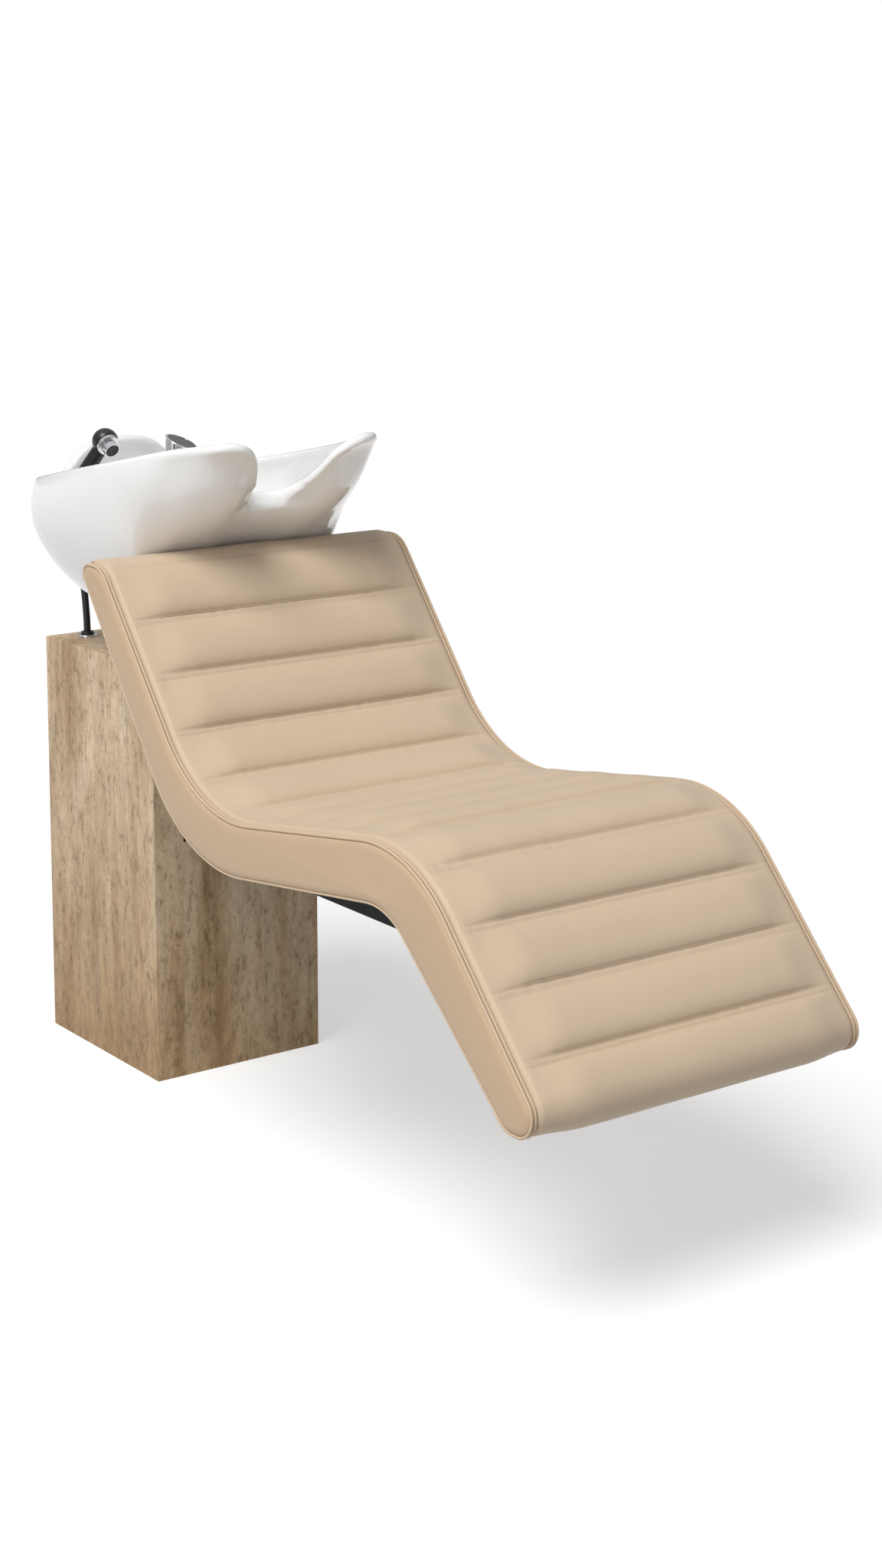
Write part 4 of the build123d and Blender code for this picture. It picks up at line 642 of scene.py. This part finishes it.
# %% Bend a sheet along the line and turn its rim in
def bent_sheet(line, half, columns, rows, rise, depth):
    """A sheet along a side line, lifted off it by rise, with its rim turned in to a depth."""
    bm = bmesh.new()
    bmesh.ops.create_grid(bm, x_segments=columns, y_segments=rows, size=0.5)
    for vertex in bm.verts:
        x = vertex.co.x * 2.0 * half
        distance = (vertex.co.y + 0.5) * line.length
        place, along = line.at(distance)
        outward = outward_of(along)
        lifted = place + outward * rise(x, distance)
        vertex.co = (x, lifted.x, lifted.y)
    rim = [edge for edge in bm.edges if edge.is_boundary]
    skirt = bmesh.ops.extrude_edge_only(bm, edges=rim)["geom"]
    for vertex in [item for item in skirt if isinstance(item, bmesh.types.BMVert)]:
        distance = line.nearest(Vector((vertex.co.y, vertex.co.z)))
        place, along = line.at(distance)
        outward = outward_of(along)
        sunk = place - outward * depth
        vertex.co = (vertex.co.x * 0.998, sunk.x, sunk.y)
    return bm


PAD_COLUMNS, PAD_ROWS = 110, 640
PAD_DEPTH = 0.006
pad_mesh = bent_sheet(pad_line, PAD_HALF, PAD_COLUMNS, PAD_ROWS, pad_rise, PAD_DEPTH)
bmesh.ops.recalc_face_normals(pad_mesh, faces=pad_mesh.faces)
pad = finish_piece(pad_mesh, "channelled_pad", beige_leather, "stand", ["lounger_pad"])

# %% [markdown]
# ## Side panels and underside
# Each side is a panel cut to the outline, upholstered over a thin foam, so its face is a little crowned and
# its edge is drawn in under the piping. The underside is a plain cover, pulled tight and tucked in all round.
#
# The panel could be filled first and bevelled after, but a bevel crosses itself in the tight corners at the
# head. Carrying the outline outwards ring by ring keeps each ring's corners in step with the one before.


# %% Side panels
PANEL_STEP = 0.005
PANEL_PROFILE = [
    (0.0000, 0.0045), (0.0006, 0.0074), (0.0020, 0.0095), (0.0044, 0.0110), (0.0078, 0.0121),
    (0.0115, 0.0127),
]


def side_panel(side):
    """An upholstered panel: the outline carried outwards in rings that draw in towards its face."""
    bm = bmesh.new()
    station = bm.verts.layers.int.new("station")
    count = round(outline.length / PANEL_STEP)
    places = [outline.at(outline.length * number / count) for number in range(count)]
    inner = HALF_WIDTH - PANEL_THICKNESS
    ring = []
    for number, (place, along) in enumerate(places):
        vertex = bm.verts.new((side * inner, place.x, place.y))
        vertex[station] = number
        ring.append(vertex)
    back = bm.faces.new(ring)
    edges = list(back.edges)
    for drawn_in, reach in PANEL_PROFILE:
        swept = bmesh.ops.extrude_edge_only(bm, edges=edges)["geom"]
        ring = [item for item in swept if isinstance(item, bmesh.types.BMVert)]
        fresh = set(ring)
        edges = [
            item for item in swept if isinstance(item, bmesh.types.BMEdge) and set(item.verts) <= fresh
        ]
        for vertex in ring:
            place, along = places[vertex[station]]
            moved = place - outward_of(along) * drawn_in
            vertex.co = (side * (inner + reach), moved.x, moved.y)
    bm.faces.new(sorted(ring, key=lambda vertex: vertex[station]))
    bmesh.ops.recalc_face_normals(bm, faces=bm.faces)
    return bm


for side, word in ((1.0, "right"), (-1.0, "left")):
    finish_piece(
        side_panel(side), "side_cover_" + word, panel_leather_painted_shade, "stand", ["side_panel_" + word]
    )

# %% Underside cover
COVER_TUCK, COVER_ROUND, COVER_DEPTH = 0.003, 0.012, 0.0045
COVER_COLUMNS, COVER_ROWS = 90, 300
under_line = SideLine(
    [foot_under + Vector((-0.03, 0.0)), foot_under, knee_under, seat_under, head_under,
     head_under + Vector((-0.02, 0.0))],
    [0.0, *OUTLINE_RADII[4:8], 0.0],
)


def cover_rise(x, distance):
    """The cover lies flat and tucks in at its edges."""
    from_edge = PAD_HALF - abs(x)
    end_gap = min(distance, under_line.length - distance)
    return -COVER_TUCK * (1.0 - smooth_step(min(from_edge, end_gap) / COVER_ROUND))


cover_mesh = bent_sheet(under_line, PAD_HALF, COVER_COLUMNS, COVER_ROWS, cover_rise, COVER_DEPTH)
bmesh.ops.recalc_face_normals(cover_mesh, faces=cover_mesh.faces)
finish_piece(cover_mesh, "underside_leather", panel_leather_painted_shade, "stand", ["underside_cover"])


# %% [markdown]
# ## Piping
# Leather cord covers every edge seam: two cords side by side between the pad and the side panel, and one
# along the lower edge of the panel. A curve with a round bevel along the outline is exactly that cord. It is
# turned into a mesh at once, since only meshes can ride on a body of the frame.


# %% Piping cords
CORD_STEP = 0.005


def piping(name, line, x, lift, radius):
    """A cord along a side line, at a distance across the unit."""
    curve = bpy.data.curves.new(name, "CURVE")
    curve.dimensions = "3D"
    curve.bevel_depth = radius
    curve.bevel_resolution = 3
    spline = curve.splines.new("POLY")
    count = round(line.length / CORD_STEP)
    spline.points.add(count)
    for number, point in enumerate(spline.points):
        place, along = line.at(line.length * number / count)
        outward = outward_of(along)
        lifted = place + outward * lift
        point.co = (x, lifted.x, lifted.y, 1.0)
    holder = bpy.data.objects.new(name, curve)
    scene.collection.objects.link(holder)
    mesh = bpy.data.meshes.new_from_object(holder)
    bpy.data.objects.remove(holder)
    bm = bmesh.new()
    bm.from_mesh(mesh)
    bmesh.ops.remove_doubles(bm, verts=bm.verts, dist=1e-6)
    return bm


PIPE_RADIUS, PIPE_LIFT = 0.0023, 0.0012
LOWER_RADIUS, LOWER_LIFT = 0.0017, 0.0006
OUTER_CORD = HALF_WIDTH - 0.0035
INNER_CORD = HALF_WIDTH - PANEL_THICKNESS + 0.0025
CORDS = [
    ("1", pad_line, OUTER_CORD, PIPE_LIFT, PIPE_RADIUS),
    ("2", pad_line, INNER_CORD, PIPE_LIFT, PIPE_RADIUS),
    ("lower", under_line, OUTER_CORD, LOWER_LIFT, LOWER_RADIUS),
]
for side, word in ((1.0, "right"), (-1.0, "left")):
    for ending, line, across, lift, radius in CORDS:
        name = f"piping_{word}_{ending}"
        cord = piping(name, line, side * across, lift, radius)
        finish_piece(cord, name, piping_leather, "stand")

# %% [markdown]
# ## Stitches
# A lockstitch shows as a row of short rounded bars with small gaps. Two rows run along each cross seam and
# one row follows the piping on each side. They are small closed bars, copied along the pad's own surface. A
# bump could draw them too, but real bars still catch the light from close by and from the side.

# %% Stitch rows
STITCH_LENGTH = 0.0034
STITCH_PITCH = 0.0046
STITCH_WIDTH = 0.0007
STITCH_LIFT = 0.0001
ROW_INSET, BORDER_INSET = 0.016, 0.0085


def pad_point(x, distance):
    """A point on the pad's surface with its outward and forward directions."""
    place, along = pad_line.at(distance)
    side_out = outward_of(along)
    outward = Vector((0.0, side_out.x, side_out.y))
    lifted = Vector((x, place.x, place.y)) + outward * pad_rise(x, distance)
    return lifted, outward, Vector((0.0, along.x, along.y))


def add_stitch(bm, place, along, outward):
    """One stitch: a flattened bar with drawn-in ends."""
    across = along.cross(outward).normalized()
    turn = Matrix((along, across, outward)).transposed().to_4x4()
    turn.translation = place
    size = Matrix.Diagonal((STITCH_LENGTH / 2, STITCH_WIDTH / 2, STITCH_WIDTH / 2, 1.0))
    bmesh.ops.create_icosphere(bm, subdivisions=1, radius=1.0, matrix=turn @ size)


stitches = bmesh.new()
reach = PAD_HALF - ROW_INSET
for seam in seams:
    for offset in (-STRIP_HALF, STRIP_HALF) if seam != seams[0] else (0.0,):
        for number in range(int(2 * reach / STITCH_PITCH)):
            x = -reach + (number + 0.5) * STITCH_PITCH
            place, outward, along = pad_point(x, seam + offset)
            add_stitch(stitches, place + outward * STITCH_LIFT, Vector((1.0, 0.0, 0.0)), outward)
for side in (-1.0, 1.0):
    x = side * (PAD_HALF - BORDER_INSET)
    distance = seams[0]
    while distance < last_bump_end:
        place, outward, along = pad_point(x, distance)
        add_stitch(stitches, place + outward * STITCH_LIFT, along, outward)
        distance += STITCH_PITCH
finish_piece(stitches, "pad_stitches", thread, "stand")

# %% [markdown]
# ## The basin
# Vitreous china has no sharp edges: slip and glaze round every corner. So the basin's solid is remade as an
# even skin and smoothed a little, which keeps its form to a fraction of a millimetre and gives every edge and
# inner corner its soft glazed round.
#
# A bevel would need clean edges, and a subdivision surface an even net of four-sided faces. The solid's
# triangles have neither, and a voxel remesh asks for neither.

# %% Glazed basin
BASIN_VOXEL = 0.0028
SMOOTHING_ROUNDS = 9


def smooth_rounds(bm, verts, rounds):
    """Evens out vertices, each round drawing them halfway to their neighbours."""
    for _ in range(rounds):
        bmesh.ops.smooth_vert(bm, verts=verts, factor=0.5, use_axis_x=True, use_axis_y=True, use_axis_z=True)


basin_mesh = bmesh.new()
for name in ("basin", "tap_deck"):
    basin_mesh.from_mesh(nodes[name].data)
bmesh.ops.remove_doubles(basin_mesh, verts=basin_mesh.verts, dist=1e-5)
basin = finish_piece(basin_mesh, "glazed_basin", glaze, "tilting_basin", ["basin", "tap_deck"])
remesh = basin.modifiers.new("even_skin", "REMESH")
remesh.mode = "VOXEL"
remesh.voxel_size = BASIN_VOXEL
remesh.use_smooth_shade = True
even = bpy.data.meshes.new_from_object(basin.evaluated_get(bpy.context.evaluated_depsgraph_get()))
basin.modifiers.clear()
basin_mesh = bmesh.new()
basin_mesh.from_mesh(even)
smooth_rounds(basin_mesh, basin_mesh.verts, SMOOTHING_ROUNDS)

# %% [markdown]
# ## The basin's front
# Under the neck notch the real front is nearly flush from lobe to lobe, with only a shallow hollow. The solid
# steps back there, so each point of its front is found with a ray from the client's side and drawn forward to
# the line between the two lobes. The move fades out above and below, and a few rounds of smoothing blend it
# in. The inside of the bowl stays as it is.

# %% The basin's front
LOBE_CREST = 0.100
FRONT_BOTTOM, HOLLOW_LEVEL, NOTCH_LEVEL = 0.850, 0.888, 0.970
FRONT_LIMIT = -0.160
HOLLOW_DEPTH, HOLLOW_FLARE, HOLLOW_REACH = 0.008, 0.001, 0.020
FRONT_FADE_IN, FRONT_FADE_OUT, FRONT_MARGIN = 0.028, 0.026, 0.006
FRONT_SKIN = 0.0015
CORNER_WIDTHS = (0.020, 0.070)
CORNER_LEVELS = (0.950, 0.992)
FRONT_ROUNDS, CORNER_ROUNDS = 24, 26
skin = BVHTree.FromBMesh(basin_mesh)


def front_of(x, z):
    """Where the basin's front is met, coming from the client's feet."""
    hit = skin.ray_cast(Vector((x, -1.0, z)), Vector((0.0, 1.0, 0.0)))[0]
    return hit.y if hit else 0.0


def filled_front(x, z):
    """The front drawn flush between the lobes: a shallow hollow that deepens to the notch's rim."""
    share = min(abs(x) / LOBE_CREST, 1.0)
    hollow = HOLLOW_DEPTH + HOLLOW_FLARE * math.exp((z - HOLLOW_LEVEL) / HOLLOW_REACH)
    return front_of(LOBE_CREST, z) + hollow * (1.0 - share) ** 2 * (1.0 + 2.0 * share)


def front_weight(z):
    """Full between the lounger's head and the notch's rim, and none beyond them."""
    rising = smooth_step((z - FRONT_BOTTOM) / FRONT_FADE_IN)
    return rising * smooth_step((NOTCH_LEVEL + FRONT_MARGIN - z) / FRONT_FADE_OUT)


moves = {}
for vertex in basin_mesh.verts:
    x, y, z = vertex.co
    if abs(x) < LOBE_CREST and y < FRONT_LIMIT and FRONT_BOTTOM < z < NOTCH_LEVEL + FRONT_MARGIN:
        front_y = front_of(x, z)
        if abs(y - front_y) < FRONT_SKIN:
            moves[vertex] = min(filled_front(x, z) - front_y, 0.0) * front_weight(z)
for vertex, move in moves.items():
    vertex.co.y += move
smooth_rounds(basin_mesh, list(moves), FRONT_ROUNDS)
corners = [
    vertex for vertex in basin_mesh.verts
    if vertex.co.y < FRONT_LIMIT
    and CORNER_WIDTHS[0] < abs(vertex.co.x) < CORNER_WIDTHS[1]
    and CORNER_LEVELS[0] < vertex.co.z < CORNER_LEVELS[1]
]
smooth_rounds(basin_mesh, corners, CORNER_ROUNDS)
print("front of the basin", len(moves), "vertices, deepest move", round(min(moves.values()), 4))
for face in basin_mesh.faces:
    face.smooth = True
basin_mesh.to_mesh(basin.data)
basin_mesh.free()
basin.data.materials.clear()
basin.data.materials.append(glaze)
print("glazed basin", len(basin.data.polygons), "faces")

# %% [markdown]
# ## The shower hose
# A pull-out hand shower hangs on a braided rubber hose, which leaves the bush under the tap deck and drops
# through a rosette into the plinth. It is a fixed length of something springy, so it is one smooth curve with
# a round bevel: the points steer it, and the curve between them stays as even as the hose itself.

# %% Shower hose
HOSE_DIAMETER = 0.012
HOSE_ROUTE = [
    (-0.1191, 0.1412, 0.9415), (-0.1200, 0.1420, 0.9050), (-0.1130, 0.1390, 0.8450),
    (-0.1050, 0.1373, 0.7800), (-0.1004, 0.1370, 0.7180), (-0.1000, 0.1372, 0.6550),
    (-0.1000, 0.1370, 0.5950),
]
hose_curve = bpy.data.curves.new("hose_line", "CURVE")
hose_curve.dimensions = "3D"
hose_curve.resolution_u = 16
hose_line = hose_curve.splines.new("NURBS")
hose_line.points.add(len(HOSE_ROUTE) - 1)
for point, place in zip(hose_line.points, HOSE_ROUTE):
    point.co = (*place, 1.0)
hose_line.order_u = 3
hose_line.use_endpoint_u = True
hose_holder = bpy.data.objects.new("hose_line", hose_curve)
scene.collection.objects.link(hose_holder)
hose_path = [tuple(vertex.co) for vertex in bpy.data.meshes.new_from_object(hose_holder).vertices]
hose_length = sum(math.dist(first, second) for first, second in zip(hose_path, hose_path[1:]))
hose_curve.bevel_depth = HOSE_DIAMETER / 2
hose_curve.bevel_resolution = 6
hose_curve.use_fill_caps = True
hose_mesh = bmesh.new()
hose_mesh.from_mesh(bpy.data.meshes.new_from_object(hose_holder))
bpy.data.objects.remove(hose_holder)
bmesh.ops.remove_doubles(hose_mesh, verts=hose_mesh.verts, dist=1e-6)
shower_cord = finish_piece(hose_mesh, "shower_cord", black_rubber, None, ["shower_hose"])
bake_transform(shower_cord)
print("shower hose", round(hose_length, 4), "m")

# %% [markdown]
# ## The hose that the hand shower draws out
# At rest this short length hides in the bush. It stands for the hose that comes up out of its store in the
# plinth when the hand shower is drawn.

# %% Drawn hose
DRAWN_TOP = Vector((-0.1149, 0.1370, 0.9510))
DRAWN_FOOT = Vector((-0.1204, 0.1424, 0.9393))
drawn_axis = DRAWN_TOP - DRAWN_FOOT
leaning = drawn_axis.to_track_quat("Z", "Y").to_matrix().to_4x4()
drawn_mesh = bmesh.new()
bmesh.ops.create_cone(
    drawn_mesh, cap_ends=True, segments=32, radius1=HOSE_DIAMETER / 2, radius2=HOSE_DIAMETER / 2,
    depth=drawn_axis.length, matrix=Matrix.Translation((DRAWN_TOP + DRAWN_FOOT) / 2) @ leaning,
)
drawn_hose = finish_piece(drawn_mesh, "drawn_hose", black_rubber, None)
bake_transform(drawn_hose)

# %% [markdown]
# ## The hoses under the basin
# The supply hoses, the outlet hose and the waste hose hang from the basin and are held in the stone, and on
# the unit they bend when the basin tilts. A straight pipe has corners only at its ends and can't bend between
# them, so each one is copied and cut into short rings.

# %% Hoses under the basin
RING_PITCH = 0.006
STIFF_END = 0.010
BENDING_HOSES = [
    ("supply_hoses", "supply_tubes", black_rubber, "rubber", 0.700),
    ("outlet_hose", "outlet_tube", black_rubber, "rubber", 0.700),
    ("waste_hose", "waste_tube", white_plastic, "white_plastic", 0.600),
]
for node, name, material, slot, held_level in BENDING_HOSES:
    hose = bmesh.new()
    hose.from_mesh(nodes[node].data)
    free_level = max(vertex.co.z for vertex in hose.verts) - STIFF_END
    level = held_level
    while level < free_level:
        everything = [*hose.verts, *hose.edges, *hose.faces]
        bmesh.ops.bisect_plane(
            hose, geom=everything, plane_co=(0.0, 0.0, level), plane_no=(0.0, 0.0, 1.0)
        )
        level += RING_PITCH
    piece = finish_piece(hose, name, material, None, [node])
    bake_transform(piece)
    print(name, "bends from", round(free_level, 4), "to", held_level)

# %% [markdown]
# ## Floor and light
# A large pale floor runs to the horizon. The lamps light the object at a plain level, and the floor and the
# sky add white only for the camera and for reflections, so the background is white and the shadow stays.
# Reflections see a studio: a dark band just above the floor and a bright ceiling, which give the glaze and
# the chrome something to draw their form with.

# %% Floor
FLOOR_SIZE = 60.0
FLOOR_GREY = 0.55
FLOOR_GLOW = 0.50
floor_mesh = bmesh.new()
bmesh.ops.create_grid(floor_mesh, x_segments=4, y_segments=4, size=FLOOR_SIZE / 2)
floor_data = bpy.data.meshes.new("floor")
floor_mesh.to_mesh(floor_data)
floor_mesh.free()
floor = bpy.data.objects.new("floor", floor_data)
scene.collection.objects.link(floor)
floor_paint, floor_tree, floor_shader, _ = new_material("pale_floor", roughness=0.8, specular=0.1)
floor_shader.inputs["Base Color"].default_value = grey(FLOOR_GREY)
floor_shader.inputs["Emission Color"].default_value = grey(1.0)
path = floor_tree.nodes.new("ShaderNodeLightPath")
seen = math_node(floor_tree, "MAXIMUM", path.outputs["Is Camera Ray"], path.outputs["Is Glossy Ray"])
floor_tree.links.new(
    math_node(floor_tree, "MULTIPLY", seen, FLOOR_GLOW), floor_shader.inputs["Emission Strength"]
)
floor_data.materials.append(floor_paint)

# %% World
SKY_LEVEL = 0.26
world = bpy.data.worlds.new("studio")
scene.world = world
world.use_nodes = True
sky = world.node_tree
background = sky.nodes["Background"]
background.inputs["Color"].default_value = grey(1.0)
sky_path = sky.nodes.new("ShaderNodeLightPath")
direct = math_node(sky, "MAXIMUM", sky_path.outputs["Is Camera Ray"], sky_path.outputs["Is Transmission Ray"])
sky_place = sky.nodes.new("ShaderNodeTexCoord").outputs["Generated"]
sky_split = sky.nodes.new("ShaderNodeSeparateXYZ")
sky.links.new(sky_place, sky_split.inputs["Vector"])
studio = ramp_node(
    sky, sky_split.outputs["Z"],
    [(0.00, grey(0.45)), (0.04, grey(0.08)), (0.26, grey(0.10)), (0.42, grey(0.55)), (1.00, grey(0.70))],
)
glossy = math_node(sky, "MULTIPLY", sky_path.outputs["Is Glossy Ray"], studio)
direct = math_node(sky, "MAXIMUM", direct, glossy)
level = math_node(sky, "ADD", math_node(sky, "MULTIPLY", direct, 1.0 - SKY_LEVEL), SKY_LEVEL)
sky.links.new(level, background.inputs["Strength"])


# %% Lamps
def aimed(lamp, place, target):
    """Puts a lamp at a place and turns it to face a point."""
    lamp.location = place
    lamp.rotation_euler = (Vector(target) - Vector(place)).to_track_quat("-Z", "Y").to_euler()
    scene.collection.objects.link(lamp)


key_data = bpy.data.lights.new("key_light", "SUN")
key_data.energy = 2.5
key_data.angle = math.radians(32.0)
aimed(bpy.data.objects.new("key_light", key_data), (-2.5, -1.15, 4.6), (0.0, 0.0, 0.0))
gleam_data = bpy.data.lights.new("gleam_light", "AREA")
gleam_data.shape = "RECTANGLE"
gleam_data.size = 0.9
gleam_data.size_y = 2.4
gleam_data.energy = 26.0
aimed(bpy.data.objects.new("gleam_light", gleam_data), (-2.6, -1.8, 2.4), (0.0, -0.3, 0.8))
